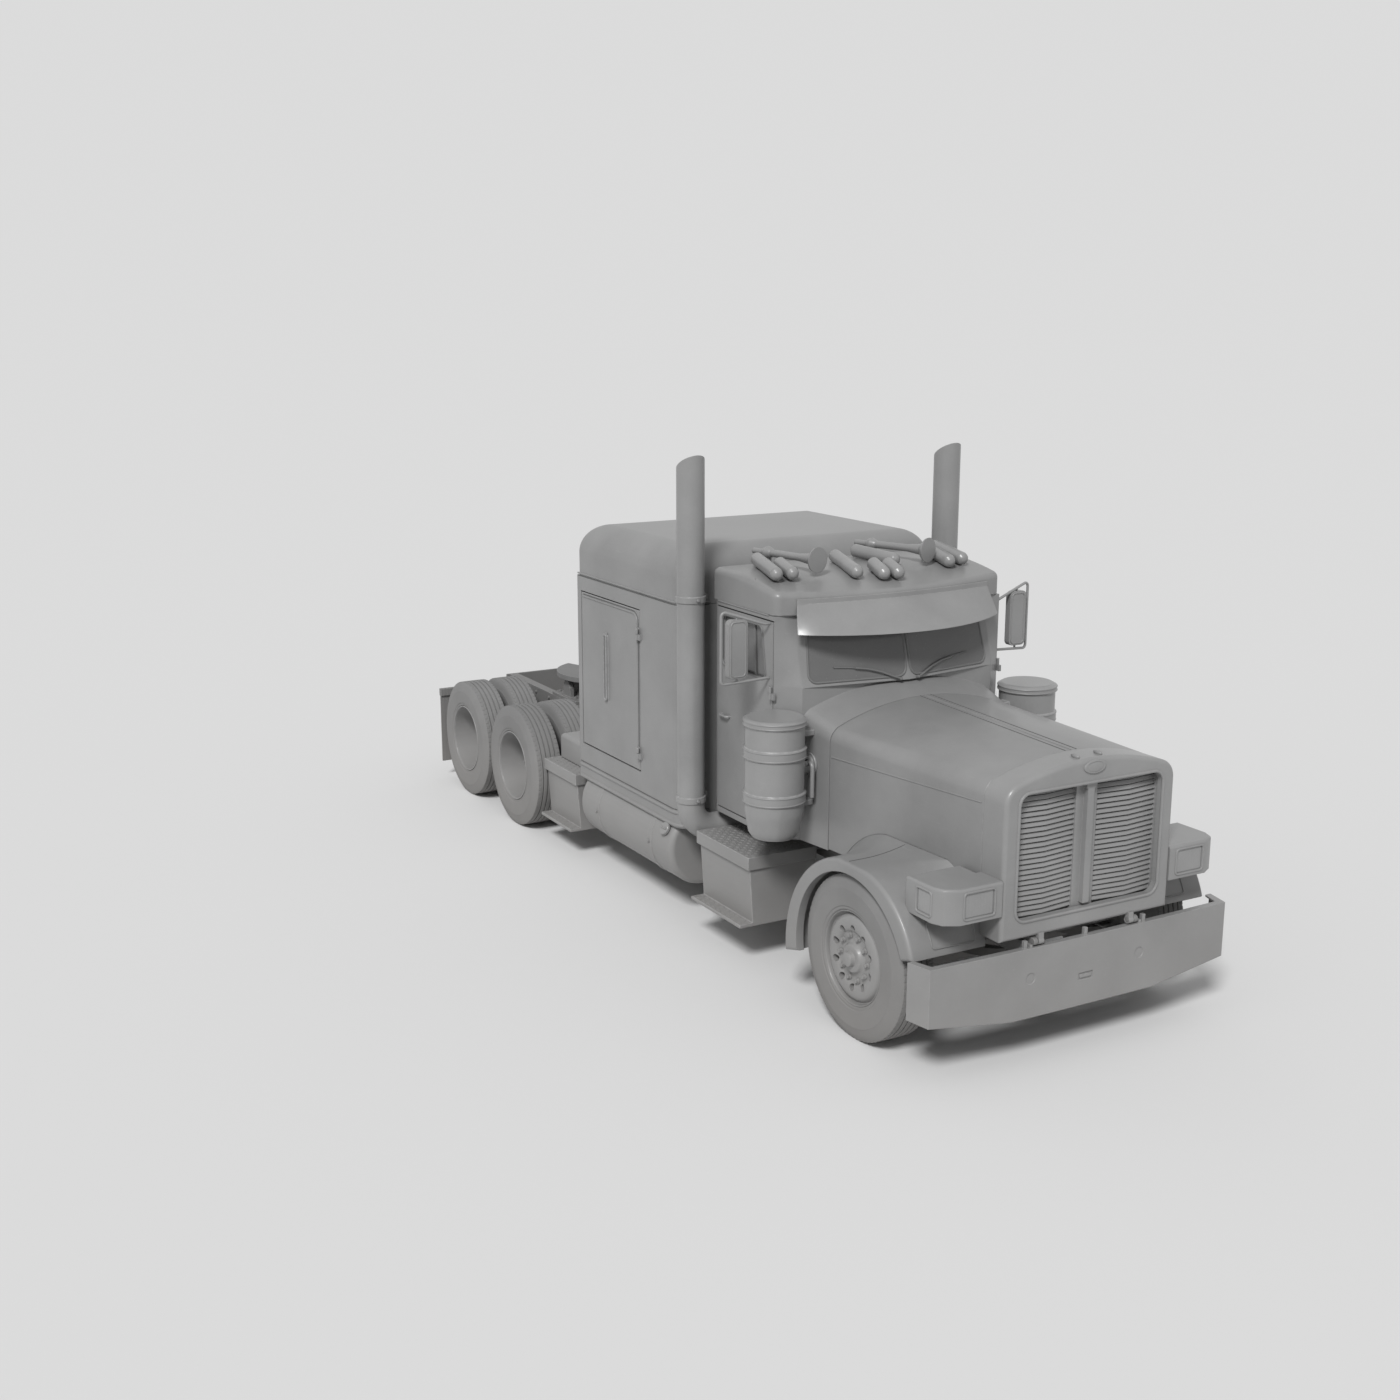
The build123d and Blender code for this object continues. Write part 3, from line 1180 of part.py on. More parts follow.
def sleeper_plan(z, inset):
    """Plan of the sleeper, rounder at the front corners than at the back."""
    with BuildSketch(Plane.XY.offset(z)) as plan:
        with Locations((0, at((SLEEPER_FRONT + SLEEPER_BACK) / 2))):
            Rectangle(2 * (SLEEPER_W - inset), SLEEPER_BACK - SLEEPER_FRONT - 2 * inset)
        corners = plan.vertices().sort_by(Axis.Y)
        fillet(corners[:2], max(SLEEPER_CORNER - inset, 10))
        fillet(corners[2:], max(SLEEPER_BACK_CORNER - inset, 10))
    return plan.sketch


with BuildPart() as sleeper_body:
    extrude(sleeper_plan(SLEEPER_SKIRT, 0), amount=SLEEPER_ROOF_SEAM - SLEEPER_SKIRT)
    extrude(sleeper_plan(SLEEPER_SKIRT, SKIRT_T), amount=SLEEPER_FLOOR - SLEEPER_SKIRT, mode=Mode.SUBTRACT)
    with Locations((0, at((SLEEPER_FRONT + SLEEPER_BACK) / 2), (SLEEPER_SKIRT + SLEEPER_FLOOR) / 2)):
        Box(
            2 * SKIRT_OPEN_W,
            SLEEPER_BACK - SLEEPER_FRONT,
            SLEEPER_FLOOR - SLEEPER_SKIRT,
            mode=Mode.SUBTRACT,
        )
    extrude(
        sleeper_plan(SLEEPER_FLOOR + SLEEPER_WALL, SLEEPER_WALL),
        amount=SLEEPER_ROOF_SEAM - SLEEPER_FLOOR - SLEEPER_WALL,
        mode=Mode.SUBTRACT,
    )
    with BuildSketch(across(SLEEPER_FRONT)):
        with Locations((0, (PASSAGE_BASE + PASSAGE_TOP) / 2)):
            RectangleRounded(
                2 * (PASSAGE_W + BOOT_WALL),
                PASSAGE_TOP - PASSAGE_BASE + 2 * BOOT_WALL,
                PASSAGE_R + BOOT_WALL,
            )
    extrude(amount=SLEEPER_FRONT - CAB_BACK)
    with BuildSketch(across(SLEEPER_FRONT + SLEEPER_WALL)):
        with Locations((0, (PASSAGE_BASE + PASSAGE_TOP) / 2)):
            RectangleRounded(2 * PASSAGE_W, PASSAGE_TOP - PASSAGE_BASE, PASSAGE_R)
    extrude(amount=SLEEPER_FRONT + SLEEPER_WALL - CAB_BACK, mode=Mode.SUBTRACT)
    for side in (1, -1):
        with BuildSketch(Plane.YZ.offset(side * SLEEPER_W)):
            with Locations(
                (at((BUNK_DOOR_FRONT + BUNK_DOOR_BACK) / 2), (BUNK_DOOR_BASE + BUNK_DOOR_TOP) / 2)
            ):
                Rectangle(
                    BUNK_DOOR_BACK - BUNK_DOOR_FRONT + 2 * DOOR_GAP,
                    BUNK_DOOR_TOP - BUNK_DOOR_BASE + 2 * DOOR_GAP,
                )
        extrude(amount=-side * 2 * SLEEPER_WALL, mode=Mode.SUBTRACT)
        for z in BUNK_HINGES:
            with Locations((side * (SLEEPER_W + HINGE_PROUD), at(BUNK_DOOR_FRONT), z - HINGE_H / 2)):
                Cylinder(HINGE_R, HINGE_H)
            hinge_x = side * (SLEEPER_W + HINGE_PROUD / 2)
            with Locations((hinge_x, at(BUNK_DOOR_FRONT) - HINGE_LEAF_SET, z - HINGE_H / 2)):
                Box(HINGE_PROUD, HINGE_LEAF, HINGE_H)
save(sleeper_body, "sleeper_body")

# Sleeper roof: a hollow cap whose ends and sides roll over into the top
ROOF_ROLL_R = 230.0
with BuildPart() as sleeper_roof:
    with Locations(
        (0, at((SLEEPER_FRONT + SLEEPER_BACK) / 2), (SLEEPER_ROOF_SEAM + SLEEPER_ROOF_TOP) / 2)
    ):
        Box(2 * SLEEPER_W, SLEEPER_BACK - SLEEPER_FRONT, SLEEPER_ROOF_TOP - SLEEPER_ROOF_SEAM)
    fillet(sleeper_roof.edges().group_by(Axis.Z)[-1], ROOF_ROLL_R)
    fillet(sleeper_roof.edges().filter_by(Axis.Z).sort_by(Axis.Y)[:2], SLEEPER_CORNER)
    fillet(sleeper_roof.edges().filter_by(Axis.Z).sort_by(Axis.Y)[-2:], SLEEPER_BACK_CORNER)
    extrude(
        sleeper_plan(SLEEPER_ROOF_SEAM, 2 * SLEEPER_WALL),
        amount=SLEEPER_ROOF_TOP - SLEEPER_ROOF_SEAM - 2 * SLEEPER_WALL,
        mode=Mode.SUBTRACT,
    )
save(sleeper_roof, "sleeper_roof")

# Bunk doors with an upright grab handle
GRAB_STATION = BUNK_DOOR_FRONT + 0.56 * (BUNK_DOOR_BACK - BUNK_DOOR_FRONT)
GRAB_H = 550.0
GRAB_W = 60.0
GRAB_BAR = 18.0
GRAB_PROUD = 22.0
GRAB_BASE = BUNK_DOOR_BASE + 440.0
bunk_left = door_panel(
    BUNK_DOOR_FRONT, BUNK_DOOR_BACK, BUNK_DOOR_BASE, BUNK_DOOR_TOP, SLEEPER_W, BUNK_HINGES, None
)
with BuildPart() as bunk_door_left:
    add(bunk_left.part)
    with BuildSketch(Plane.YZ.offset(SLEEPER_W)):
        with Locations((at(GRAB_STATION), GRAB_BASE + GRAB_H / 2)):
            SlotOverall(GRAB_H, GRAB_W, rotation=90)
            SlotOverall(GRAB_H - 2 * GRAB_BAR, GRAB_W - 2 * GRAB_BAR, rotation=90, mode=Mode.SUBTRACT)
    extrude(amount=GRAB_PROUD)
save(bunk_door_left, "bunk_door_left")
with BuildPart() as bunk_door_right:
    mirror(bunk_door_left.part, about=Plane.YZ)
save(bunk_door_right, "bunk_door_right")

# Fuel tanks: round tanks under the sleeper, strapped to brackets on the rails
TANK_EDGE = 50.0
STRAP_W = 60.0
STRAP_T = 6.0
STRAP_INSET = 0.21 * (TANK_BACK - TANK_FRONT)
STRAP_STATIONS = (TANK_FRONT + STRAP_INSET, TANK_BACK - STRAP_INSET)
BRACKET_Z = 750.0
BRACKET_H = 120.0
BRACKET_END = TANK_X - TANK_R + 60.0
with BuildPart() as fuel_tanks:
    with BuildSketch(across(TANK_BACK)):
        with Locations((TANK_X, TANK_Z)):
            Circle(TANK_R)
    extrude(amount=TANK_BACK - TANK_FRONT)
    fillet(fuel_tanks.edges().filter_by(GeomType.CIRCLE), TANK_EDGE)
    for station in STRAP_STATIONS:
        with BuildSketch(across(station + STRAP_W / 2)):
            with Locations((TANK_X, TANK_Z)):
                Circle(TANK_R + STRAP_T)
        extrude(amount=STRAP_W)
        with Locations(((RAIL_X + BRACKET_END) / 2, at(station), BRACKET_Z)):
            Box(BRACKET_END - RAIL_X, STRAP_W, BRACKET_H)
    mirror(about=Plane.YZ)
save(fuel_tanks, "fuel_tanks")

# Step boxes: a lid that stands out over a tapered box, and a tread at its foot
# columns: front and back stations, lid height, tread height, lid reach, tread reach
STEP_TABLE = (
    (DOOR_HINGE + 8.0, DOOR_END, 826.0, 335.0, 1150.0, 1205.0),
    (DECK_STEP_BACK - DECK_STEP_L, DECK_STEP_BACK, 738.0, 262.0, 1150.0, 1195.0),
)
STEP_INSET = 18.0
STEP_BRIM = 24.0
STEP_ARM_H = 75.0
STEP_LID_T = 95.0
STEP_TREAD_T = 26.0
STEP_IN = 580.0
STEP_TAPER = 26.0
with BuildPart() as step_boxes:
    for front, back, lid_z, tread_z, lid_x, tread_x in STEP_TABLE:
        middle = at((front + back) / 2)
        with Locations(((STEP_IN + lid_x) / 2, middle, lid_z - STEP_LID_T / 2)):
            Box(lid_x - STEP_IN, back - front, STEP_LID_T)
        with BuildSketch(across(back - STEP_INSET)):
            with BuildLine():
                Polyline(
                    (STEP_IN, lid_z - STEP_LID_T),
                    (lid_x - STEP_BRIM, lid_z - STEP_LID_T),
                    (lid_x - STEP_BRIM - STEP_TAPER, tread_z),
                    (STEP_IN, tread_z),
                    close=True,
                )
            make_face()
        extrude(amount=back - front - 2 * STEP_INSET)
        with Locations(((STEP_IN + tread_x) / 2, middle, tread_z - STEP_TREAD_T / 2)):
            Box(tread_x - STEP_IN, back - front - 2 * STEP_INSET, STEP_TREAD_T)
        with Locations(((RAIL_X + STEP_IN) / 2, middle, lid_z - STEP_LID_T / 2)):
            Box(STEP_IN - RAIL_X, 0.6 * (back - front), STEP_ARM_H)
    mirror(about=Plane.YZ)
save(step_boxes, "step_boxes")

# Stowage boxes behind the sleeper, above the rear steps
STOW_BASE = 742.0
STOW_TOP = 960.0
STOW_OUT = 1010.0
STOW_EDGE_R = 40.0
with BuildPart() as stowage_boxes:
    with Locations(
        ((RAIL_X + STOW_OUT) / 2, at((STOW_FRONT + STOW_BACK) / 2), (STOW_BASE + STOW_TOP) / 2)
    ):
        Box(STOW_OUT - RAIL_X, STOW_BACK - STOW_FRONT, STOW_TOP - STOW_BASE)
    fillet(stowage_boxes.edges().group_by(Axis.Z)[-1].sort_by(Axis.X)[1:], STOW_EDGE_R)
    mirror(about=Plane.YZ)
save(stowage_boxes, "stowage_boxes")

# Exhaust stacks: straight pipes cut at a slant on top, clamped to the sleeper, with an elbow at
# the foot that runs in to the rail
STACK_WALL = 6.0
STACK_FOOT_Z = 800.0
ELBOW_R = 190.0
CLAMP_LEVELS = (1040.0, 2530.0)
CLAMP_H = 46.0
CLAMP_T = 9.0
STACK_CUT = 130.0
STACK_BORE = 400.0
ARM_W = 80.0
ARM_X = STACK_X - 125.0
with BuildPart() as exhaust_stacks:
    with BuildLine() as run:
        FilletPolyline(
            (STACK_X, at(STACK_STATION), STACK_TOP),
            (STACK_X, at(STACK_STATION), STACK_FOOT_Z),
            (RAIL_X, at(STACK_STATION), STACK_FOOT_Z),
            radius=ELBOW_R,
        )
    with BuildSketch(Plane(origin=run.line @ 0, z_dir=run.line % 0)):
        Circle(STACK_R)
    sweep(path=run.line)
    with Locations((STACK_X, at(STACK_STATION), STACK_TOP - STACK_BORE / 2)):
        Cylinder(STACK_R - STACK_WALL, STACK_BORE, mode=Mode.SUBTRACT)
    with BuildSketch(Plane.YZ.offset(STACK_X - 2 * STACK_R)):
        with BuildLine():
            Polyline(
                (at(STACK_STATION) - STACK_R, STACK_TOP),
                (at(STACK_STATION) + STACK_R + 5, STACK_TOP),
                (at(STACK_STATION) + STACK_R + 5, STACK_TOP - STACK_CUT),
                close=True,
            )
        make_face()
    extrude(amount=4 * STACK_R, mode=Mode.SUBTRACT)
    for z in CLAMP_LEVELS:
        with Locations((STACK_X, at(STACK_STATION), z)):
            Cylinder(STACK_R + CLAMP_T, CLAMP_H)
        arm_l = SLEEPER_FRONT - STACK_STATION - 40
        with Locations((ARM_X, at(SLEEPER_FRONT - arm_l / 2), z)):
            Box(ARM_W, arm_l, CLAMP_H - 10)
    mirror(about=Plane.YZ)
save(exhaust_stacks, "exhaust_stacks")

# Air cleaners: banded canisters beside the cowl, with a flanged duct into it and a drain pipe
# that hangs from the duct
CLEANER_BASE = 1050.0
CLEANER_TOP = 1892.0
CLEANER_BAND = 11.0
DUCT_R = 62.0
DUCT_Z = CLEANER_BASE + 470.0
DUCT_FLANGE_R = 84.0
DUCT_FLANGE_T = 10.0
DUCT_WALL_X = HOOD_BACK_W + (PILLAR_W - HOOD_BACK_W) * (CLEANER_STATION - COWL_FRONT) / COWL_L
CLEANER_ARM_W = 90.0
CLEANER_ARM_H = 40.0
DRAIN_R = 16.0
DRAIN_X = CLEANER_X - 244.0
DRAIN_LEAD = 96.0
DRAIN_RISE = 28.0
DRAIN_L = 240.0
DRAIN_BEND_R = 34.0
# columns: height above the foot, radius
CLEANER_PROFILE = (
    (0.0, 0.0),
    (0.0, CLEANER_R - 55),
    (40.0, CLEANER_R - 28),
    (185.0, CLEANER_R),
    (250.0, CLEANER_R),
    (255.0, CLEANER_R + CLEANER_BAND),
    (320.0, CLEANER_R + CLEANER_BAND),
    (325.0, CLEANER_R),
    (560.0, CLEANER_R),
    (565.0, CLEANER_R + CLEANER_BAND),
    (630.0, CLEANER_R + CLEANER_BAND),
    (635.0, CLEANER_R),
    (780.0, CLEANER_R),
    (785.0, CLEANER_R + CLEANER_BAND),
    (825.0, CLEANER_R + CLEANER_BAND),
    (CLEANER_TOP - CLEANER_BASE, CLEANER_R - 20),
    (CLEANER_TOP - CLEANER_BASE, 0.0),
)
with BuildPart() as air_cleaners:
    foot = (CLEANER_X, at(CLEANER_STATION), CLEANER_BASE)
    with BuildSketch(Plane(origin=foot, x_dir=(1, 0, 0), z_dir=(0, -1, 0))):
        with BuildLine():
            Polyline(*[(radius, height) for height, radius in CLEANER_PROFILE], close=True)
        make_face()
    revolve(axis=Axis(foot, (0, 0, 1)))
    with BuildSketch(Plane.YZ.offset(HOOD_BACK_W - 20)):
        with Locations((at(CLEANER_STATION), DUCT_Z)):
            Circle(DUCT_R)
        with Locations((at(CLEANER_STATION), DUCT_Z - 260), (at(CLEANER_STATION), DUCT_Z + 230)):
            Rectangle(CLEANER_ARM_W, CLEANER_ARM_H)
    extrude(amount=CLEANER_X - HOOD_BACK_W - CLEANER_R / 2)
    with BuildSketch(Plane.YZ.offset(HOOD_BACK_W - 20)):
        with Locations((at(CLEANER_STATION), DUCT_Z)):
            Circle(DUCT_FLANGE_R)
    extrude(amount=DUCT_WALL_X + DUCT_FLANGE_T - HOOD_BACK_W + 20)
    with BuildLine() as drain:
        FilletPolyline(
            (DRAIN_X, at(CLEANER_STATION), DUCT_Z + DRAIN_RISE),
            (DRAIN_X, at(CLEANER_STATION - DRAIN_LEAD), DUCT_Z + DRAIN_RISE),
            (DRAIN_X, at(CLEANER_STATION - DRAIN_LEAD), DUCT_Z + DRAIN_RISE - DRAIN_L),
            radius=DRAIN_BEND_R,
        )
    with BuildSketch(Plane(origin=drain.line @ 0, z_dir=drain.line % 0)):
        Circle(DRAIN_R)
    sweep(path=drain.line)
    loft(
        [
            arched_section(COWL_FRONT, HOOD_BACK_W, CAB_BASE, HOOD_CROWN),
            arched_section(PILLAR_STATION, PILLAR_W, CAB_BASE, COWL_CROWN),
        ],
        mode=Mode.SUBTRACT,
    )
    mirror(about=Plane.YZ)
save(air_cleaners, "air_cleaners")

# Trailer coupling: a base across the rails and a rocking top plate with a throat for the
# trailer's pin, whose jaws close round it
PLATE_R = 455.0
PLATE_T = 48.0
PIVOT_Z = 1075.0
PIVOT_R = 32.0
PIVOT_X = 330.0
PIVOT_LUG_T = 44.0
JAW_R = 25.9
JAW_H = 60.0
THROAT_W = 70.0
LUG_GAP = 6.0
BED_L = 520.0
BED_T = 30.0
BED_HOLE = (420.0, 300.0)
PIVOT_EYE_R = 62.0
PIVOT_LUG_L = 150.0
PLATE_LUG_L = 130.0
JAW_W = 240.0
with BuildPart() as coupling_base:
    with BuildSketch(Plane.XY.offset(RAIL_TOP)):
        with Locations((0, at(COUPLER_STATION))):
            Rectangle(2 * RAIL_X, BED_L)
            Rectangle(*BED_HOLE, mode=Mode.SUBTRACT)
    extrude(amount=BED_T)
    for side in (1, -1):
        for edge in (-1, 1):
            lug_x = side * PIVOT_X + edge * (PIVOT_LUG_T + LUG_GAP)
            with BuildSketch(Plane.YZ.offset(lug_x - PIVOT_LUG_T / 2)):
                with Locations((at(COUPLER_STATION), (RAIL_TOP + BED_T + PIVOT_Z) / 2)):
                    Rectangle(PIVOT_LUG_L, PIVOT_Z - RAIL_TOP - BED_T)
                with Locations((at(COUPLER_STATION), PIVOT_Z)):
                    Circle(PIVOT_EYE_R)
            extrude(amount=PIVOT_LUG_T)
        with BuildSketch(Plane.YZ.offset(side * PIVOT_X - 1.5 * PIVOT_LUG_T - LUG_GAP)):
            with Locations((at(COUPLER_STATION), PIVOT_Z)):
                Circle(PIVOT_R)
        extrude(amount=3 * PIVOT_LUG_T + 2 * LUG_GAP)
save(coupling_base, "coupling_base")
with BuildPart() as coupling_plate:
    with BuildSketch(Plane.XY.offset(COUPLER_TOP - PLATE_T)):
        with Locations((0, at(COUPLER_STATION))):
            Circle(PLATE_R)
        with BuildLine():
            Polyline(
                (-THROAT_W, at(COUPLER_STATION) - THROAT_W),
                (THROAT_W, at(COUPLER_STATION) - THROAT_W),
                (THROAT_W, at(COUPLER_STATION) + 100),
                (3 * THROAT_W, at(COUPLER_STATION) + PLATE_R + 20),
                (-3 * THROAT_W, at(COUPLER_STATION) + PLATE_R + 20),
                (-THROAT_W, at(COUPLER_STATION) + 100),
                close=True,
            )
        make_face(mode=Mode.SUBTRACT)
    extrude(amount=PLATE_T)
    for side in (1, -1):
        with BuildSketch(Plane.YZ.offset(side * PIVOT_X - PIVOT_LUG_T / 2)):
            with Locations((at(COUPLER_STATION), (PIVOT_Z + COUPLER_TOP - PLATE_T) / 2)):
                Rectangle(PLATE_LUG_L, COUPLER_TOP - PLATE_T - PIVOT_Z)
            with Locations((at(COUPLER_STATION), PIVOT_Z)):
                Circle(PIVOT_EYE_R)
            with Locations((at(COUPLER_STATION), PIVOT_Z)):
                Circle(PIVOT_R + SHAFT_FIT, mode=Mode.SUBTRACT)
        extrude(amount=PIVOT_LUG_T)
    with BuildSketch(Plane.XY.offset(COUPLER_TOP - PLATE_T - JAW_H)):
        with Locations((0, at(COUPLER_STATION))):
            Rectangle(JAW_W, JAW_W)
            Circle(JAW_R, mode=Mode.SUBTRACT)
    extrude(amount=JAW_H)
save(coupling_plate, "coupling_plate")

# Mudflaps on hangers behind the rear tyres, and the tail lamps on the end plate
HANGER_STATION = RAIL_END - 70.0
HANGER_Z = 860.0
HANGER_OUT = 1205.0
HANGER_W = 50.0
HANGER_H = 70.0
FLAP_IN = 610.0
FLAP_BASE = 160.0
FLAP_T = 14.0
with BuildPart() as mudflaps:
    with Locations(((RAIL_X + HANGER_OUT) / 2, at(HANGER_STATION), HANGER_Z)):
        Box(HANGER_OUT - RAIL_X, HANGER_W, HANGER_H)
    with Locations(((FLAP_IN + HANGER_OUT) / 2, at(HANGER_STATION), (FLAP_BASE + HANGER_Z) / 2)):
        Box(HANGER_OUT - FLAP_IN, FLAP_T, HANGER_Z - FLAP_BASE)
    mirror(about=Plane.YZ)
save(mudflaps, "mudflaps")
LAMP_R = 52.0
LAMP_XS = (250.0, 370.0)
LAMP_Z = RAIL_MID + 40.0
with BuildPart() as tail_lamps:
    with BuildSketch(across(RAIL_END + END_PLATE_T)):
        for side in (1, -1):
            with Locations(*[(side * x, LAMP_Z) for x in LAMP_XS]):
                Circle(LAMP_R)
    extrude(amount=RAIL_END + END_PLATE_T - WHEELBASE - TANDEM_SPREAD - REAR_OVERHANG)
save(tail_lamps, "tail_lamps")



def turned(profile, tip, tail):
    """Solid turned round the line from a tip to a tail: the profile's rows are along, radius."""
    along = (tail - tip).normalized()
    with BuildPart() as piece:
        with BuildSketch(Plane(origin=tip, x_dir=along, z_dir=along.cross(Vector(0, 0, 1)))):
            with BuildLine():
                Polyline(*profile, close=True)
            make_face()
        revolve(axis=Axis(tip, along))
    return piece.part


# Roof horns: trumpets that point forward, each with a round sound case on a post
HORN_Z = CAB_ROOF_TOP + 92.0
HORN_BELL_R = 92.0
HORN_TUBE_R = 27.0
HORN_CASE_R = 47.0
HORN_CASE_BACK = 150.0
HORN_POST_W = 36.0
# columns: X of the bell, its station behind the roof's front, X of the tail, its station
HORN_TABLE = (
    (-472.0, 350.0, -609.0, 990.0),
    (500.0, 370.0, 286.0, 990.0),
)
with BuildPart() as roof_horns:
    for bell_x, bell_s, tail_x, tail_s in HORN_TABLE:
        bell = Vector(bell_x, at(ROOF_FRONT + bell_s), HORN_Z)
        tail = Vector(tail_x, at(ROOF_FRONT + tail_s), HORN_Z)
        horn_l = (tail - bell).length
        case = horn_l - HORN_CASE_BACK
        profile = (
            (0, 0),
            (0, HORN_BELL_R),
            (0.17 * HORN_BELL_R, 0.95 * HORN_BELL_R),
            (0.7 * HORN_BELL_R, 0.45 * HORN_BELL_R),
            (2.0 * HORN_BELL_R, HORN_TUBE_R),
            (case - HORN_CASE_R, HORN_TUBE_R),
            (case - 0.7 * HORN_CASE_R, 0.75 * HORN_CASE_R),
            (case, HORN_CASE_R),
            (case + 0.7 * HORN_CASE_R, 0.75 * HORN_CASE_R),
            (case + HORN_CASE_R, 0.8 * HORN_TUBE_R),
            (horn_l, 0.8 * HORN_TUBE_R),
            (horn_l, 0),
        )
        add(turned(profile, bell, tail))
        post = bell + (tail - bell).normalized() * case
        with Locations((post.X, post.Y, (CAB_ROOF_TOP + HORN_Z) / 2)):
            Box(HORN_POST_W, HORN_POST_W, HORN_Z - CAB_ROOF_TOP + HORN_POST_W)
    add(cab_roof.part, mode=Mode.SUBTRACT)
save(roof_horns, "roof_horns")

# Roof lamps: torpedo cases that fan out over the roof, each on a foot
ROOF_LAMP_R = 48.0
LAMP_FOOT_W = 34.0
LAMP_FOOT_L = 80.0
LAMP_FOOT_H = 76.0
# columns: X of the nose, its station behind the roof's front, its height over the roof's top,
# then the same three for the tail
ROOF_LAMP_TABLE = (
    (-847.0, 275.0, 23.0, -680.0, 842.0, 58.0),
    (-728.0, 258.0, 23.0, -617.0, 632.0, 48.0),
    (-234.0, 192.0, 3.0, -62.0, 762.0, 48.0),
    (-55.0, 117.0, -12.0, 25.0, 402.0, 33.0),
    (60.0, 102.0, -14.0, 130.0, 372.0, 28.0),
    (250.0, 392.0, 33.0, 170.0, 862.0, 58.0),
    (613.0, 242.0, 13.0, 740.0, 712.0, 51.0),
    (755.0, 272.0, 18.0, 860.0, 782.0, 53.0),
)
with BuildPart() as roof_lamps:
    for nose_x, nose_s, nose_h, tail_x, tail_s, tail_h in ROOF_LAMP_TABLE:
        nose = Vector(nose_x, at(ROOF_FRONT + nose_s), CAB_ROOF_TOP + nose_h)
        tail = Vector(tail_x, at(ROOF_FRONT + tail_s), CAB_ROOF_TOP + tail_h)
        lamp_l = (tail - nose).length
        profile = (
            (0, 0),
            (0.1 * ROOF_LAMP_R, 0.45 * ROOF_LAMP_R),
            (0.5 * ROOF_LAMP_R, 0.87 * ROOF_LAMP_R),
            (ROOF_LAMP_R, ROOF_LAMP_R),
            (lamp_l - 0.6 * ROOF_LAMP_R, ROOF_LAMP_R),
            (lamp_l, 0.5 * ROOF_LAMP_R),
            (lamp_l, 0),
        )
        add(turned(profile, nose, tail))
        middle = (nose + tail) * 0.5
        with Locations((middle.X, middle.Y, middle.Z - LAMP_FOOT_H / 2)):
            Box(LAMP_FOOT_W, LAMP_FOOT_L, LAMP_FOOT_H)
    add(cab_roof.part, mode=Mode.SUBTRACT)
save(roof_lamps, "roof_lamps")

# Wipers: a bent arm and a blade lying on each pane
WIPER_T = 14.0
WIPER_LIFT = GLASS_T / 2 + SEAT_FIT
BLADE_L = 430.0
BLADE_IN = 150.0
BLADE_UP = 95.0
BLADE_TURN = 10.0
WIPER_ARM_L = 300.0
WIPER_ARM_W = 10.0
WIPER_ARM_IN = 110.0
WIPER_ARM_UP = 60.0
WIPER_ARM_TURN = 18.0
with BuildPart() as wipers:
    for side in (1, -1):
        with BuildSketch(pane_plane(side).offset(WIPER_LIFT)):
            with Locations((BLADE_IN + BLADE_L / 2, side * BLADE_UP)):
                Rectangle(BLADE_L, WIPER_T, rotation=side * BLADE_TURN)
            with Locations((WIPER_ARM_IN + WIPER_ARM_L / 2, side * WIPER_ARM_UP)):
                Rectangle(WIPER_ARM_L, WIPER_ARM_W, rotation=side * WIPER_ARM_TURN)
        extrude(amount=WIPER_T)
save(wipers, "wipers")

# Inside: two seats on pedestals, a bunk, and a dash with the steering wheel
FLOOR_Z = CAB_BASE + CAB_WALL
SEAT_X = CAB_W / 2 - 15.0
SEAT_STATION = DOOR_END - 250.0
PEDESTAL = (260.0, 300.0, 260.0)
CUSHION = (500.0, 480.0, 120.0)
BACKREST = (480.0, 110.0, 640.0)
BACKREST_SET = 220.0
with BuildPart() as seats:
    for x in (SEAT_X, -SEAT_X):
        with Locations((x, at(SEAT_STATION), FLOOR_Z + PEDESTAL[2] / 2)):
            Box(*PEDESTAL)
        with Locations((x, at(SEAT_STATION), FLOOR_Z + PEDESTAL[2] + CUSHION[2] / 2)):
            Box(*CUSHION)
        back_z = FLOOR_Z + PEDESTAL[2] + CUSHION[2] - 20 + BACKREST[2] / 2
        with Locations((x, at(SEAT_STATION) + BACKREST_SET, back_z)):
            Box(*BACKREST)
save(seats, "seats")
BUNK_SHARE = 0.4914
BUNK_H = 420.0
BUNK_GAP = 30.0
with BuildPart() as bunk:
    bunk_base = SLEEPER_FLOOR + SLEEPER_WALL
    bunk_back = SLEEPER_BACK - SLEEPER_WALL - 10
    bunk_l = BUNK_SHARE * SLEEPER_L
    bunk_w = SLEEPER_W - SLEEPER_WALL - BUNK_GAP
    with Locations((0, at(bunk_back - bunk_l / 2), bunk_base + BUNK_H / 2)):
        Box(2 * bunk_w, bunk_l, BUNK_H)
save(bunk, "bunk")
DASH_W = 620.0
DASH_FRONT = COWL_FRONT + CAB_WALL
DASH_BACK = DASH_FRONT + 404.0
DASH_BASE = CAB_BELT - 470.0
DASH_TOP = CAB_BELT - 250.0
DASH_SLOPE = 90.0
WHEEL_R = 225.0
WHEEL_GRIP = 30.0
WHEEL_T = 24.0
WHEEL_STATION = DASH_BACK + 140.0
WHEEL_Z = DASH_TOP - 60.0
COLUMN_R = 34.0
COLUMN_L = 220.0
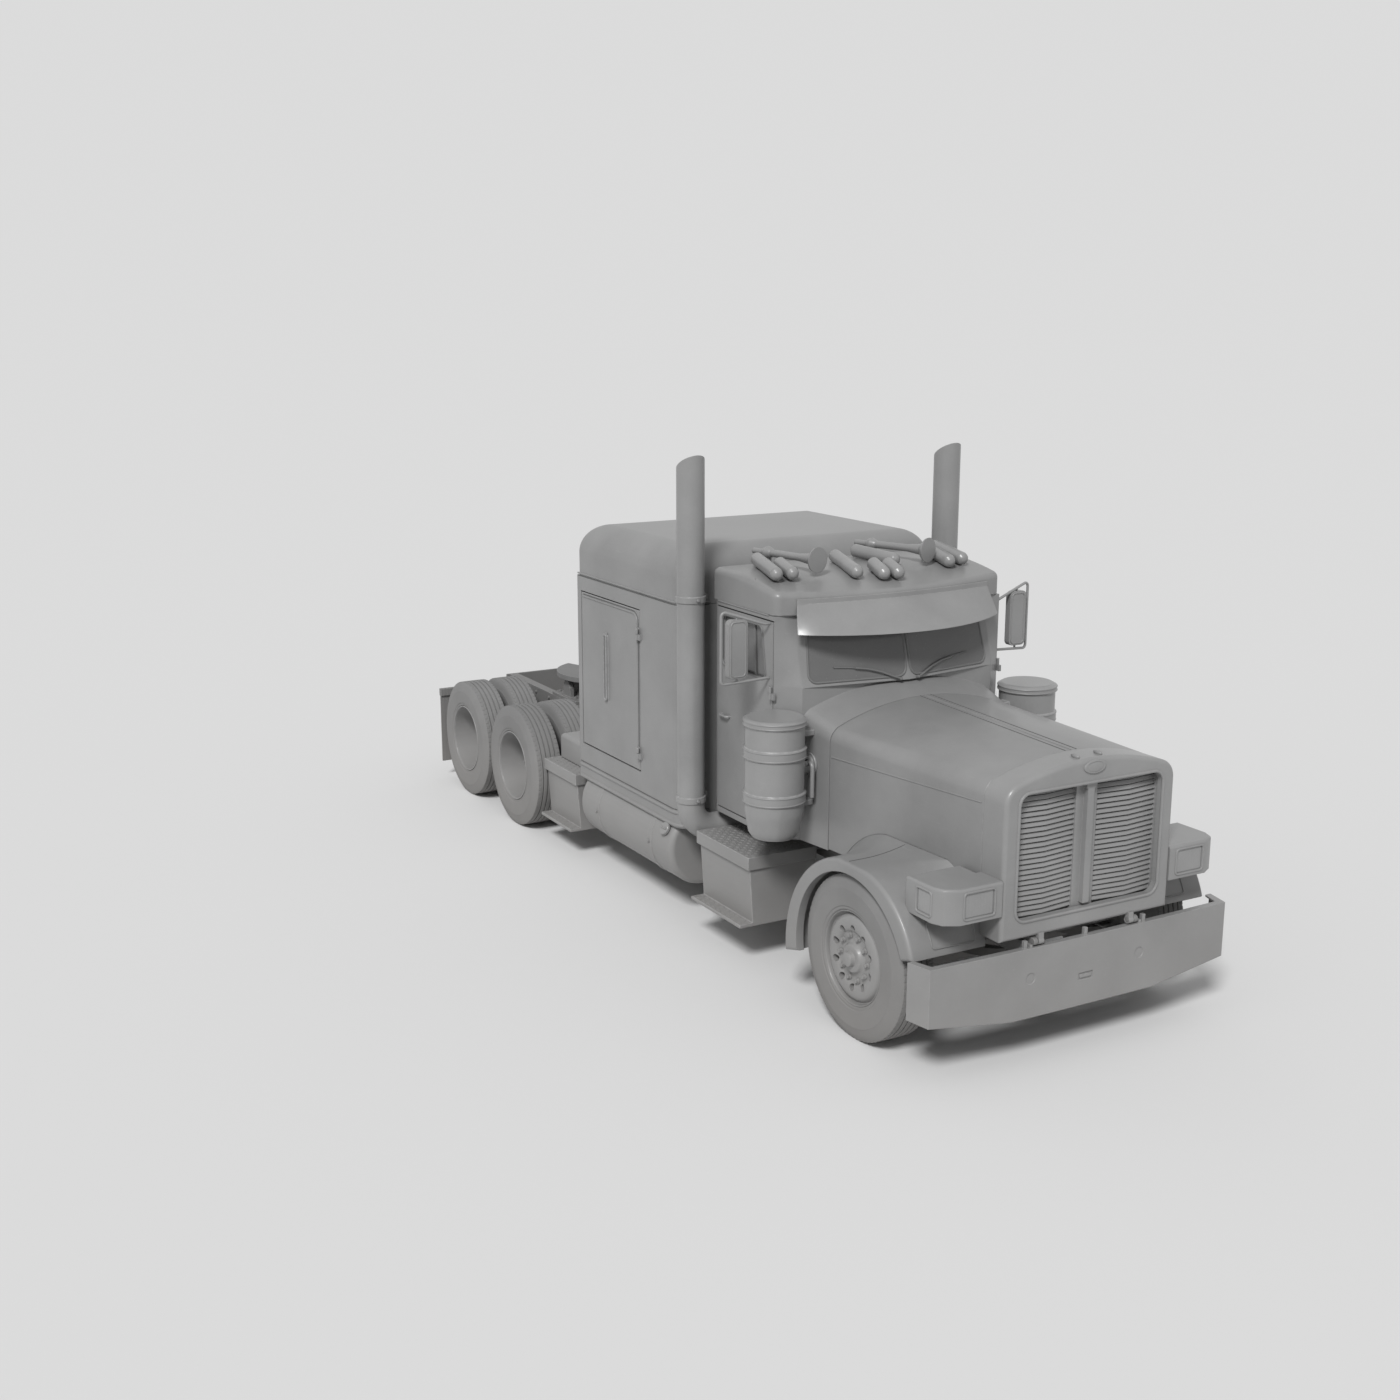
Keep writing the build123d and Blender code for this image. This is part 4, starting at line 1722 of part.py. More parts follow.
with BuildPart() as dashboard:
    with BuildSketch(Plane.YZ.offset(-DASH_W)):
        with BuildLine():
            Polyline(
                (at(DASH_FRONT), DASH_BASE),
                (at(DASH_BACK), DASH_BASE),
                (at(DASH_BACK) - 20, DASH_TOP - 40),
                (at(DASH_BACK) - DASH_SLOPE, DASH_TOP),
                (at(DASH_FRONT), DASH_TOP),
                close=True,
            )
        make_face()
    extrude(amount=2 * DASH_W)
    hub = Plane(origin=(SEAT_X, at(WHEEL_STATION), WHEEL_Z), x_dir=(1, 0, 0), z_dir=(0, 0.75, 0.65))
    with BuildSketch(hub):
        Circle(WHEEL_R)
        Circle(WHEEL_R - WHEEL_GRIP, mode=Mode.SUBTRACT)
        Rectangle(2 * WHEEL_R - WHEEL_GRIP, 40)
    extrude(amount=WHEEL_T)
    with BuildSketch(hub):
        Circle(COLUMN_R)
    extrude(amount=-COLUMN_L)
save(dashboard, "dashboard")
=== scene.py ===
import json
from math import cos, exp, hypot, pi, radians, sin, sqrt, tau

import bmesh
import bpy
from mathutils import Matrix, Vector

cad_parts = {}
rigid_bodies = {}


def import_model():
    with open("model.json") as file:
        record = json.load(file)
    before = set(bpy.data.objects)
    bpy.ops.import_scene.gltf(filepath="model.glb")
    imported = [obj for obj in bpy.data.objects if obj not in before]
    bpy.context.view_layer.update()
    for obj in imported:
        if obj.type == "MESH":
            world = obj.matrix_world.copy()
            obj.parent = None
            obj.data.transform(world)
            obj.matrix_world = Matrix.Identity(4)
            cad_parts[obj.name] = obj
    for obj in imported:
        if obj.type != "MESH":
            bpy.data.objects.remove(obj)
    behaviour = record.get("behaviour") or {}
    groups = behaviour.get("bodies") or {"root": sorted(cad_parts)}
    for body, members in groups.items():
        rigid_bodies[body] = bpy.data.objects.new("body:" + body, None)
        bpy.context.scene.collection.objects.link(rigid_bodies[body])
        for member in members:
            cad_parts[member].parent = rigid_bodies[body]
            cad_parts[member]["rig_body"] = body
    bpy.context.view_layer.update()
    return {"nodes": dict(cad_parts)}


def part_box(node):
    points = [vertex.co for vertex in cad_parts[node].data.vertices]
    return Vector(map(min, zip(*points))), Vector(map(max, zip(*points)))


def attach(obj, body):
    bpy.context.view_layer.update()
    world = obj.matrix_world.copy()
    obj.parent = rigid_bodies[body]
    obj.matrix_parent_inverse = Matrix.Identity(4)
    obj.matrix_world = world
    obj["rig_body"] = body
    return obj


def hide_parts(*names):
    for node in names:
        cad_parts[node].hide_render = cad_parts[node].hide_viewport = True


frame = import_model()


# Frame rails and crossmembers. Two pressed steel channels run the whole length, tied by channels
# between their webs, and everything else is bolted to them. They wear a flat chassis coat that
# has gathered road film, and rows of bolt heads show along the webs.
class Socket:
    """One socket of a finish: arithmetic on it adds Math nodes, and node() adds any other kind."""

    def __init__(self, tree, source=None):
        self.tree = tree
        self.source = source

    def node(self, kind, settings, inputs, output=0):
        made = self.tree.nodes.new("ShaderNode" + kind)
        for name, value in settings.items():
            setattr(made, name, value)
        for name, value in inputs.items():
            if isinstance(value, Socket):
                self.tree.links.new(value.source, made.inputs[name])
            else:
                made.inputs[name].default_value = value
        return Socket(self.tree, made.outputs[output])

    def math(self, operation, first, second):
        return self.node("Math", {"operation": operation}, {0: first, 1: second})

    def __add__(self, other):
        return self.math("ADD", self, other)

    __radd__ = __add__

    def __mul__(self, other):
        return self.math("MULTIPLY", self, other)

    __rmul__ = __mul__

    def __sub__(self, other):
        return self.math("SUBTRACT", self, other)

    def __rsub__(self, other):
        return self.math("SUBTRACT", other, self)

    def noise(self, scale, detail=3.0, rough=0.5):
        sizes = {"Vector": self, "Scale": scale, "Detail": detail, "Roughness": rough}
        return self.node("TexNoise", {}, sizes)

    def stretched(self, scale):
        return self.node("Mapping", {}, {"Vector": self, "Scale": scale})

    def waves(self, scale, direction):
        settings = {"bands_direction": direction, "wave_profile": "SIN"}
        return self.node("TexWave", settings, {"Vector": self, "Scale": scale}, 1)

    def ramp(self, low, high):
        """0 below low, 1 above high, straight between."""
        return self.node("MapRange", {}, {"Value": self, "From Min": low, "From Max": high})

    def tint(self, first, second):
        """Colour that runs from the first to the second as this value runs from 0 to 1."""
        inputs = {0: self}
        for slot, colour in ((6, first), (7, second)):
            inputs[slot] = colour if isinstance(colour, Socket) else (*colour, 1)
        return self.node("Mix", {"data_type": "RGBA"}, inputs, 2)


def grey(level, warmth=0.0):
    return (level * (1 + warmth), level, level * (1 - warmth))


ROAD_DUST = grey(0.23, 0.05)
ROLLED = "rolled"
EASED_EDGE = 0.007


def fine_grain(scale):
    """Relief of a sprayed or cast surface: even grain over soft unevenness."""
    return lambda place: place.noise(scale, 2.0) + 0.35 * place.noise(1.7, 5.0, 0.6)


def coat(name, level, rough, relief, depth=0.08, film=0.5, wear=0.5, streak=None, gloss=0.0):
    """Opaque grey finish: cloudy tone, grain, scuffs, road film low down and rubbed edges."""
    material = bpy.data.materials.new(name)
    material.use_nodes = True
    tree = material.node_tree
    tree.nodes.clear()
    place = Socket(tree).node("TexCoord", {}, {}, "Object")
    cloud = place.noise(1.7, 5.0, 0.6)
    speck = place.noise(210.0, 2.0)
    scuffs = place.stretched((9.0, 1.3, 22.0)).noise(3.0, 6.0, 0.72).ramp(0.60, 0.74)
    height = place.node("SeparateXYZ", {}, {"Vector": place}, "Z")
    splash = place.noise(5.0, 6.0, 0.65)
    dusty = (1 - (height + 0.7 * splash).ramp(0.45, 1.55)) * film
    rolled = Socket(tree).node("Attribute", {"attribute_name": ROLLED}, {}, "Fac")
    rubbed = rolled * place.noise(23.0, 5.0, 0.65).ramp(0.40, 0.62) * wear
    tone = 0.70 * cloud.ramp(0.24, 0.76) + 0.30 * speck
    if streak:
        tone = 0.6 * tone + 0.4 * place.stretched(streak).noise(14.0, 4.0, 0.7)
    base = tone.tint(grey(0.80 * level), grey(1.18 * level))
    scuffed = (0.30 * scuffs).tint(base, grey(1.35 * level))
    dirty = (dusty * (0.35 + splash)).tint(scuffed, ROAD_DUST)
    worn = rubbed.tint(dirty, grey(1.5 * level))
    roughness = rough + 0.22 * dusty + 0.16 * (cloud - 0.5) + 0.07 * scuffs - 0.06 * rubbed
    skin = relief(place)
    eased = skin.node("Bevel", {"samples": 4}, {"Radius": EASED_EDGE})
    sizes = {"Height": skin, "Strength": depth, "Distance": 0.002, "Normal": eased}
    bump = skin.node("Bump", {}, sizes)
    shader = tree.nodes.new("ShaderNodeBsdfPrincipled")
    shader.inputs["Coat Weight"].default_value = gloss
    shader.inputs["Coat Roughness"].default_value = 0.16
    for socket, value in (("Base Color", worn), ("Roughness", roughness), ("Normal", bump)):
        tree.links.new(value.source, shader.inputs[socket])
    out = tree.nodes.new("ShaderNodeOutputMaterial")
    tree.links.new(shader.outputs[0], out.inputs["Surface"])
    return material


def as_object(name, mesh):
    piece = bpy.data.objects.new(name, mesh)
    bpy.context.scene.collection.objects.link(piece)
    return piece


def applied(piece):
    """Turns a piece's modifiers into its plain mesh."""
    bpy.context.view_layer.update()
    graph = bpy.context.evaluated_depsgraph_get()
    mesh = bpy.data.meshes.new_from_object(
        piece.evaluated_get(graph), preserve_all_data_layers=True, depsgraph=graph
    )
    piece.modifiers.clear()
    piece.data = mesh
    return piece


def settle(piece, body, finish, slot, *replaced, bend=38):
    """Gives a finished piece its shading, crisp past a bend in degrees, its finish and its body."""
    piece.data.shade_smooth()
    piece.data.set_sharp_from_angle(angle=radians(bend))
    even = piece.modifiers.new("even", "WEIGHTED_NORMAL")
    even.keep_sharp = True
    even.weight = 100
    applied(piece)
    piece.data.materials.clear()
    piece.data.materials.append(finish)
    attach(piece, body)
    if replaced:
        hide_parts(*replaced)
    return piece


def body_of(node):
    return frame["nodes"][node]["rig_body"]


def softened(node, finish, slot, edge=0.006, steps=2, merged=True, clamped=True, bend=38):
    """The CAD node's own shape with its sharp edges rolled, standing in for the node.

    merged makes one face of each flat, and clamped narrows the roll where edges lie close.
    """
    work = bmesh.new()
    work.from_mesh(frame["nodes"][node].data)
    bmesh.ops.remove_doubles(work, verts=work.verts, dist=2e-5)
    if merged:
        bmesh.ops.dissolve_limit(work, angle_limit=radians(0.4), verts=work.verts, edges=work.edges)
    mesh = bpy.data.meshes.new(node + "_skin")
    work.to_mesh(mesh)
    work.free()
    mesh.materials.append(finish)
    mesh.materials.append(finish)
    piece = as_object(node + "_skin", mesh)
    roll = piece.modifiers.new("roll", "BEVEL")
    roll.material = 1
    roll.width = edge
    roll.segments = steps
    roll.limit_method = "ANGLE"
    roll.angle_limit = radians(32)
    roll.miter_outer = "MITER_ARC"
    roll.use_clamp_overlap = clamped
    applied(piece)
    edges = [face.material_index for face in piece.data.polygons]
    piece.data.attributes.new(ROLLED, "FLOAT", "FACE").data.foreach_set("value", edges)
    piece.data.polygons.foreach_set("material_index", [0] * len(edges))
    return settle(piece, body_of(node), finish, slot, node, bend=bend)


chassis_paint = coat("chassis_paint", 0.175, 0.56, fine_grain(320.0), film=0.8, wear=0.6)
for node in ("frame_rails", "crossmembers"):
    softened(node, chassis_paint, "frame_paint", 0.004)


def new_tree(name, sizes):
    """An empty Geometry Nodes tree with named inputs, and the node that gives them."""
    tree = bpy.data.node_groups.new(name, "GeometryNodeTree")
    tree.interface.new_socket("Geometry", in_out="INPUT", socket_type="NodeSocketGeometry")
    for socket, kind in (*sizes.items(), ("Finish", "Material")):
        tree.interface.new_socket(socket, in_out="INPUT", socket_type="NodeSocket" + kind)
    tree.interface.new_socket("Geometry", in_out="OUTPUT", socket_type="NodeSocketGeometry")
    return tree, tree.nodes.new("NodeGroupInput").outputs


def grown(tree, kind, settings, inputs):
    """Adds one node to a Geometry Nodes tree, its settings first, and gives its first output."""
    made = tree.nodes.new(kind)
    for name, value in settings.items():
        setattr(made, name, value)
    for name, value in inputs.items():
        for link in value if isinstance(value, list) else [value]:
            if isinstance(link, bpy.types.NodeSocket):
                tree.links.new(link, made.inputs[name])
            else:
                made.inputs[name].default_value = link
    return made.outputs[0]


def ended(tree, given, shape):
    """Closes a tree: instances made real, finish set, result out."""
    real = grown(tree, "GeometryNodeRealizeInstances", {}, {"Geometry": shape})
    dressed = grown(tree, "GeometryNodeSetMaterial", {}, {"Geometry": real, "Material": given["Finish"]})
    tree.links.new(dressed, tree.nodes.new("NodeGroupOutput").inputs[0])
    return tree


def through(tree, name, points, edges, sizes):
    """Runs a tree on points and edges, and gives the result as a piece with a plain mesh."""
    mesh = bpy.data.meshes.new(name)
    mesh.from_pydata([tuple(point) for point in points], edges, [])
    piece = as_object(name, mesh)
    run = piece.modifiers.new(name, "NODES")
    run.node_group = tree
    for item in tree.interface.items_tree:
        if item.in_out == "INPUT" and item.name in sizes:
            run[item.identifier] = sizes[item.name]
    return applied(piece)


def stud_tree():
    """A hexagonal head on a washer at every point, all turned to face one way."""
    tree, given = new_tree("bolt_heads", {"Radius": "Float", "Height": "Float", "Turn": "Vector"})

    def times(socket, factor):
        return grown(tree, "ShaderNodeMath", {"operation": "MULTIPLY"}, {0: socket, 1: factor})

    drums = []
    for sides, wide, tall in ((6, 0.92, 1.0), (14, 1.3, 0.3)):
        sizes = {"Vertices": sides, "Radius": times(given["Radius"], wide)}
        sizes["Depth"] = times(given["Height"], tall)
        drum = grown(tree, "GeometryNodeMeshCylinder", {}, sizes)
        lift = grown(tree, "ShaderNodeCombineXYZ", {}, {"Z": times(given["Height"], tall / 2)})
        drums.append(grown(tree, "GeometryNodeTransform", {}, {"Geometry": drum, "Translation": lift}))
    both = grown(tree, "GeometryNodeJoinGeometry", {}, {"Geometry": drums})
    spots = {"Points": given["Geometry"], "Instance": both, "Rotation": given["Turn"]}
    return ended(tree, given, grown(tree, "GeometryNodeInstanceOnPoints", {}, spots))


bolt_tree = stud_tree()


def bolt_heads(name, body, spots, turn, radius, height, finish, slot):
    sizes = {"Radius": radius, "Height": height, "Turn": turn, "Finish": finish}
    return settle(through(bolt_tree, name, spots, [], sizes), body, finish, slot)


SIDES = (("left", 1), ("right", -1))
RAIL_BOLTS = 16
RAIL_BOLT_PITCH = 0.3
RAIL_BOLT_START = -0.55
RAIL_BOLT_INSET = 0.05
rail_low, rail_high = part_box("frame_rails")
rail_rows = (rail_low.z + RAIL_BOLT_INSET, rail_high.z - RAIL_BOLT_INSET)
rail_places = [RAIL_BOLT_START + RAIL_BOLT_PITCH * k for k in range(RAIL_BOLTS)]
for name, side in SIDES:
    spots = [(side * rail_high.x, y, z) for y in rail_places for z in rail_rows]
    turn = (0, side * pi / 2, 0)
    bolt_heads(f"rail_bolts_{name}", "chassis", spots, turn, 0.015, 0.012, chassis_paint, "frame_paint")

# Axles, knuckles and suspension. Forged and cast steel under a thin flat paint: the front beam and
# its knuckles, the drive housings, leaf packs and the walking beams that join the drive axles.
# The castings keep a pitted skin from the mould.


def pitted(place):
    return place.noise(95.0, 5.0, 0.7)


cast_steel = coat("cast_steel", 0.175, 0.62, pitted, depth=0.22, film=0.9, wear=0.7)
for node in ("front_axle", "knuckle_left", "knuckle_right", "drive_axles", "suspension"):
    softened(node, cast_steel, "forged", 0.005)

# Engine and radiator. The engine, gearbox and shaft show only from below, as one dull mass on
# mounts between the rails. The radiator stands on the rails close behind the grille.
for node in ("engine", "radiator"):
    softened(node, chassis_paint, "frame_paint", 0.008)

# Tyres. Ribbed highway tyres of vulcanised rubber, moulded with stepped sidewalls, four grooves
# round the tread and a row of notched lugs along each shoulder; twin tyres share a wheel.
tyre_rubber = coat("tyre_rubber", 0.205, 0.74, fine_grain(420.0), film=0.6, wear=0.25)
TYRE_RADIUS = 0.545
BEAD_RADIUS = 0.3113
TREAD_HALF = 0.1075
GROOVE_DEPTH = 0.011
GROOVES = (-0.064, -0.022, 0.022, 0.064)
SHOULDER_LUGS = 76
LUG = (0.012, 0.030, 0.026)
LUG_INSET = 0.010
TYRE_STEPS = 112
FRONT_HALF, TWIN_HALF = 0.145, 0.140
TWIN_REACH = 0.5


def tyre_line(half):
    """Half section of a tyre from inner bead round the tread to outer bead: (offset, radius)."""
    wall = (
        (half - 0.020, BEAD_RADIUS),
        (half - 0.012, BEAD_RADIUS + 0.008),
        (half - 0.012, BEAD_RADIUS + 0.024),
        (half - 0.007, BEAD_RADIUS + 0.029),
        (half - 0.003, BEAD_RADIUS + 0.075),
        (half - 0.0005, BEAD_RADIUS + 0.118),
        (half - 0.0005, BEAD_RADIUS + 0.142),
        (half - 0.004, BEAD_RADIUS + 0.146),
        (half - 0.009, BEAD_RADIUS + 0.176),
        (half - 0.017, TYRE_RADIUS - 0.038),
        (TREAD_HALF + 0.012, TYRE_RADIUS - 0.020),
        (TREAD_HALF + 0.002, TYRE_RADIUS - 0.006),
    )
    tread = []
    for middle in GROOVES:
        for offset, depth in ((-0.0055, 0.0), (-0.004, GROOVE_DEPTH), (0.004, GROOVE_DEPTH), (0.0055, 0.0)):
            tread.append((middle + offset, TYRE_RADIUS - 0.003 - depth))
    return [(-offset, radius) for offset, radius in wall] + tread + list(reversed(wall))


def lathe(name, line, centre, axis, steps):
    """Mesh turned round an axis through a point; the line closes on itself or ends on the axis."""
    along = Vector(axis).normalized()
    across = along.orthogonal().normalized()
    third = along.cross(across)
    closed = line[0][1] > 1e-6 and line[-1][1] > 1e-6
    points, faces, rings = [], [], []
    for offset, radius in line:
        middle = Vector(centre) + along * offset
        if radius < 1e-6:
            rings.append([len(points)] * steps)
            points.append(middle)
            continue
        rings.append(list(range(len(points), len(points) + steps)))
        for k in range(steps):
            turn = tau * k / steps
            points.append(middle + radius * (across * cos(turn) + third * sin(turn)))
    pairs = list(zip(rings, rings[1:])) + ([(rings[-1], rings[0])] if closed else [])
    for first, second in pairs:
        for k in range(steps):
            corner = [first[k], first[(k + 1) % steps], second[(k + 1) % steps], second[k]]
            corner = list(dict.fromkeys(corner))
            if len(corner) > 2:
                faces.append(corner)
    work = bmesh.new()
    made = [work.verts.new(point) for point in points]
    for face in faces:
        work.faces.new([made[k] for k in face])
    bmesh.ops.recalc_face_normals(work, faces=work.faces)
    mesh = bpy.data.meshes.new(name)
    work.to_mesh(mesh)
    work.free()
    return mesh


def joined(name, meshes):
    """One mesh from several."""
    work = bmesh.new()
    for mesh in meshes:
        work.from_mesh(mesh)
    whole = bpy.data.meshes.new(name)
    work.to_mesh(whole)
    work.free()
    return whole


def ring_tree():
    """Blocks set round a ring in the wheel's plane, each turned to face out from the axle."""
    sizes = {"Blocks": "Int", "Ring": "Float", "Block": "Vector", "Centre": "Vector"}
    tree, given = new_tree("blocks_round_axle", sizes)
    ring = {"Vertices": given["Blocks"], "Radius": given["Ring"]}
    circle = grown(tree, "GeometryNodeMeshCircle", {}, ring)
    block = grown(tree, "GeometryNodeMeshCube", {}, {"Size": given["Block"]})
    out_from_axle = grown(tree, "GeometryNodeInputPosition", {}, {})
    facing = {"axis": "X", "pivot_axis": "Z"}
    turned = grown(tree, "FunctionNodeAlignRotationToVector", facing, {"Vector": out_from_axle})
    spots = {"Points": circle, "Instance": block, "Rotation": turned}
    spread = grown(tree, "GeometryNodeInstanceOnPoints", {}, spots)
    stood = {"Geometry": spread, "Translation": given["Centre"], "Rotation": (0, pi / 2, 0)}
    return ended(tree, given, grown(tree, "GeometryNodeTransform", {}, stood))


block_tree = ring_tree()


def taken_mesh(piece):
    """A piece's mesh, with the piece itself removed."""
    mesh = piece.data
    bpy.data.objects.remove(piece)
    return mesh


def fit_tyres(node):
    """Moulded tyres in the place of a CAD node's plain rings."""
    low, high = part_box(node)
    axle = (low + high) / 2
    twin = high.x - low.x > TWIN_REACH
    half = TWIN_HALF if twin else FRONT_HALF
    centres = (low.x + half, high.x - half) if twin else (axle.x,)
    meshes = []
    for x in centres:
        meshes.append(lathe(node, tyre_line(half), (x, axle.y, axle.z), (1, 0, 0), TYRE_STEPS))
        for side in (1, -1):
            lugs = {
                "Blocks": SHOULDER_LUGS,
                "Ring": TYRE_RADIUS - LUG_INSET,
                "Block": LUG,
                "Centre": (x + side * (TREAD_HALF - LUG_INSET), axle.y, axle.z),
                "Finish": tyre_rubber,
            }
            meshes.append(taken_mesh(through(block_tree, node + "_lugs", [], [], lugs)))
    piece = as_object(node + "_moulded", joined(node + "_moulded", meshes))
    settle(piece, body_of(node), tyre_rubber, "tyre", node)


for node in [node for node in frame["nodes"] if "tyre" in node]:
    fit_tyres(node)

# Wheels. Forged discs: the front ones bow out in a ring round their hand holes and a stepped hub,
# the twin ones are dished deep inside the outer tyre and roll over at the rim. Nuts hold them on.
wheel_alloy = coat("wheel_alloy", 0.25, 0.38, fine_grain(500.0), depth=0.06, gloss=0.15)
NUT = (0.016, 0.024)
HUB_STUD = (0.009, 0.010)
# columns: row's name, how many, the face's distance from the middle, ring's radius, stud's radius and height
FRONT_STUDS = (("nuts", 10, 1.146, 0.147, NUT),)
DRIVE_STUDS = (("nuts", 10, 0.932, 0.147, NUT), ("hub_studs", 8, 1.062, 0.068, HUB_STUD))
DRIVE_RIM_FACE, DRIVE_RIM_RADIUS = 1.2085, 0.3045
RIM_ROLL = 0.0065
RIM_STEPS = 88
HAND_HOLES = 10
HAND_HOLE_RING = 0.198
HAND_HOLE_RADIUS = 0.024
# front wheel's section from the hub cap out over the bowed disc to the rim, and back inside
FRONT_WHEEL_LINE = (
    (1.212, 0.0), (1.212, 0.036), (1.207, 0.046), (1.186, 0.051), (1.179, 0.053), (1.177, 0.060),
    (1.177, 0.084), (1.172, 0.092), (1.158, 0.098), (1.151, 0.106), (1.147, 0.118), (1.146, 0.126),
    (1.146, 0.164), (1.150, 0.172), (1.158, 0.180), (1.164, 0.192), (1.167, 0.210), (1.168, 0.232),
    (1.166, 0.250), (1.160, 0.265), (1.150, 0.277), (1.139, 0.285), (1.133, 0.291), (1.137, 0.297),
    (1.152, 0.300), (1.164, 0.302), (1.169, 0.306), (1.168, 0.310), (1.164, 0.3112), (0.915, 0.3112),
    (0.911, 0.309), (0.911, 0.299), (0.930, 0.296), (1.094, 0.276), (1.128, 0.240), (1.126, 0.160),
    (1.118, 0.150), (1.118, 0.092), (0.990, 0.080), (0.990, 0.041), (1.113, 0.041), (1.113, 0.0),
)


def bowed_wheel(node, side, axle):
    """The front disc wheel turned from its section, with the hand holes bored through it."""
    line = [(side * x, radius) for x, radius in FRONT_WHEEL_LINE]
    piece = as_object(node + "_forged", lathe(node, line, (0, axle.y, axle.z), (1, 0, 0), 120))
    bores = []
    for k in range(HAND_HOLES):
        turn = tau * (k + 0.5) / HAND_HOLES
        spot = (side * 1.13, axle.y + HAND_HOLE_RING * cos(turn), axle.z + HAND_HOLE_RING * sin(turn))
        bore = ((-0.08, 0.0), (-0.08, HAND_HOLE_RADIUS), (0.08, HAND_HOLE_RADIUS), (0.08, 0.0))
        bores.append(lathe("bore", bore, spot, (1, 0, 0), 24))
    cutter = as_object("bores", joined("bores", bores))
    cut = piece.modifiers.new("bores", "BOOLEAN")
    cut.object = cutter
    cut.operation = "DIFFERENCE"
    cut.solver = "EXACT"
    applied(piece)
    bpy.data.objects.remove(cutter)
    settle(piece, body_of(node), wheel_alloy, "wheel_alloy", node)


def bead_tree():
    """A round bead swept along edges, its corners turned in an arc."""
    tree, given = new_tree("bead_along_path", {"Radius": "Float", "Corner": "Float", "Sides": "Int"})
    path = grown(tree, "GeometryNodeMeshToCurve", {}, {"Mesh": given["Geometry"]})
    turns = {"Curve": path, "Count": 5, "Radius": given["Corner"], "Limit Radius": True}
    eased = grown(tree, "GeometryNodeFilletCurve", {"mode": "POLY"}, turns)
    ring = {"Resolution": given["Sides"], "Radius": given["Radius"]}
    profile = grown(tree, "GeometryNodeCurvePrimitiveCircle", {"mode": "RADIUS"}, ring)
    swept = {"Curve": eased, "Profile Curve": profile, "Fill Caps": True}
    return ended(tree, given, grown(tree, "GeometryNodeCurveToMesh", {}, swept))


moulding_tree = bead_tree()


def bead(name, body, paths, radius, finish, slot, corner=0.0, loop=False, replaced=(), sides=8):
    """Round beads along paths of points, as one piece; loop joins each path's end to its start."""
    points, edges = [], []
    for path in paths:
        first = len(points)
        points += [Vector(point) for point in path]
        edges += [(first + k, first + k + 1) for k in range(len(path) - 1)]
        if loop:
            edges.append((len(points) - 1, first))
    sizes = {"Radius": radius, "Corner": corner, "Sides": sides, "Finish": finish}
    piece = through(moulding_tree, name, points, edges, sizes)
    work = bmesh.new()
    work.from_mesh(piece.data)
    bmesh.ops.remove_doubles(work, verts=work.verts, dist=1e-6)
    bmesh.ops.recalc_face_normals(work, faces=work.faces)
    work.to_mesh(piece.data)
    work.free()
    return settle(piece, body, finish, slot, *replaced)


def ring_steps(steps):
    """Cosines and sines of even steps round a circle."""
    return [(cos(tau * k / steps), sin(tau * k / steps)) for k in range(steps)]


def round_axle(x, axle, radius, steps):
    """Points round an axle in the plane at x."""
    return [(x, axle.y + radius * c, axle.z + radius * s) for c, s in ring_steps(steps)]


for node in [node for node in frame["nodes"] if "wheel" in node]:
    low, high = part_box(node)
    axle = (low + high) / 2
    side = 1 if axle.x > 0 else -1
    front = node.startswith("front_wheel")
    if front:
        bowed_wheel(node, side, axle)
    else:
        softened(node, wheel_alloy, "wheel_alloy", 0.006, 3)
        edge = round_axle(side * DRIVE_RIM_FACE, axle, DRIVE_RIM_RADIUS, RIM_STEPS)
        bead(f"{node}_rim", body_of(node), [edge], RIM_ROLL, wheel_alloy, "wheel_alloy", loop=True)
    for row, count, face, ring, (radius, height) in FRONT_STUDS if front else DRIVE_STUDS:
        spots = round_axle(side * face, axle, ring, count)
        turned = (0, side * pi / 2, 0)
        bolt_heads(f"{node}_{row}", body_of(node), spots, turned, radius, height, wheel_alloy, "wheel_alloy")

# Front bumper. A deep plate of bent steel, polished and since dulled, with a folded top lip, held
# by two arms on the rails. Bolts with low heads show beside its slot.


def brushed_along(place):
    return place.stretched((3.0, 3.0, 60.0)).noise(30.0, 4.0, 0.65)


bright_steel = coat(
    "bright_steel", 0.25, 0.36, brushed_along, depth=0.05, film=0.45, wear=0.55, gloss=0.2
)
softened("front_bumper", bright_steel, "bright_metal", 0.007, 3)

# Grille. A thick rounded surround with a rolled moulding round its opening holds bent slats either
# side of a plain divider. The slats are pressed strips set one above another, and the pad over the
# opening, where a badge would go, is a plain oval.
softened("grille_surround", bright_steel, "bright_metal", 0.014, 4)
softened("grille_bars", bright_steel, "bright_metal", 0.002)
FRONT_AXLE_Y = -3.190


def at(station):
    """Y of a station measured back from the front axle."""
    return FRONT_AXLE_Y + station


def framed(low_a, high_a, low_b, high_b, placed):
    """Four corners of an upright frame; placed turns the two measures into a point."""
    return [placed(a, b) for a, b in ((low_a, low_b), (high_a, low_b), (high_a, high_b), (low_a, high_b))]


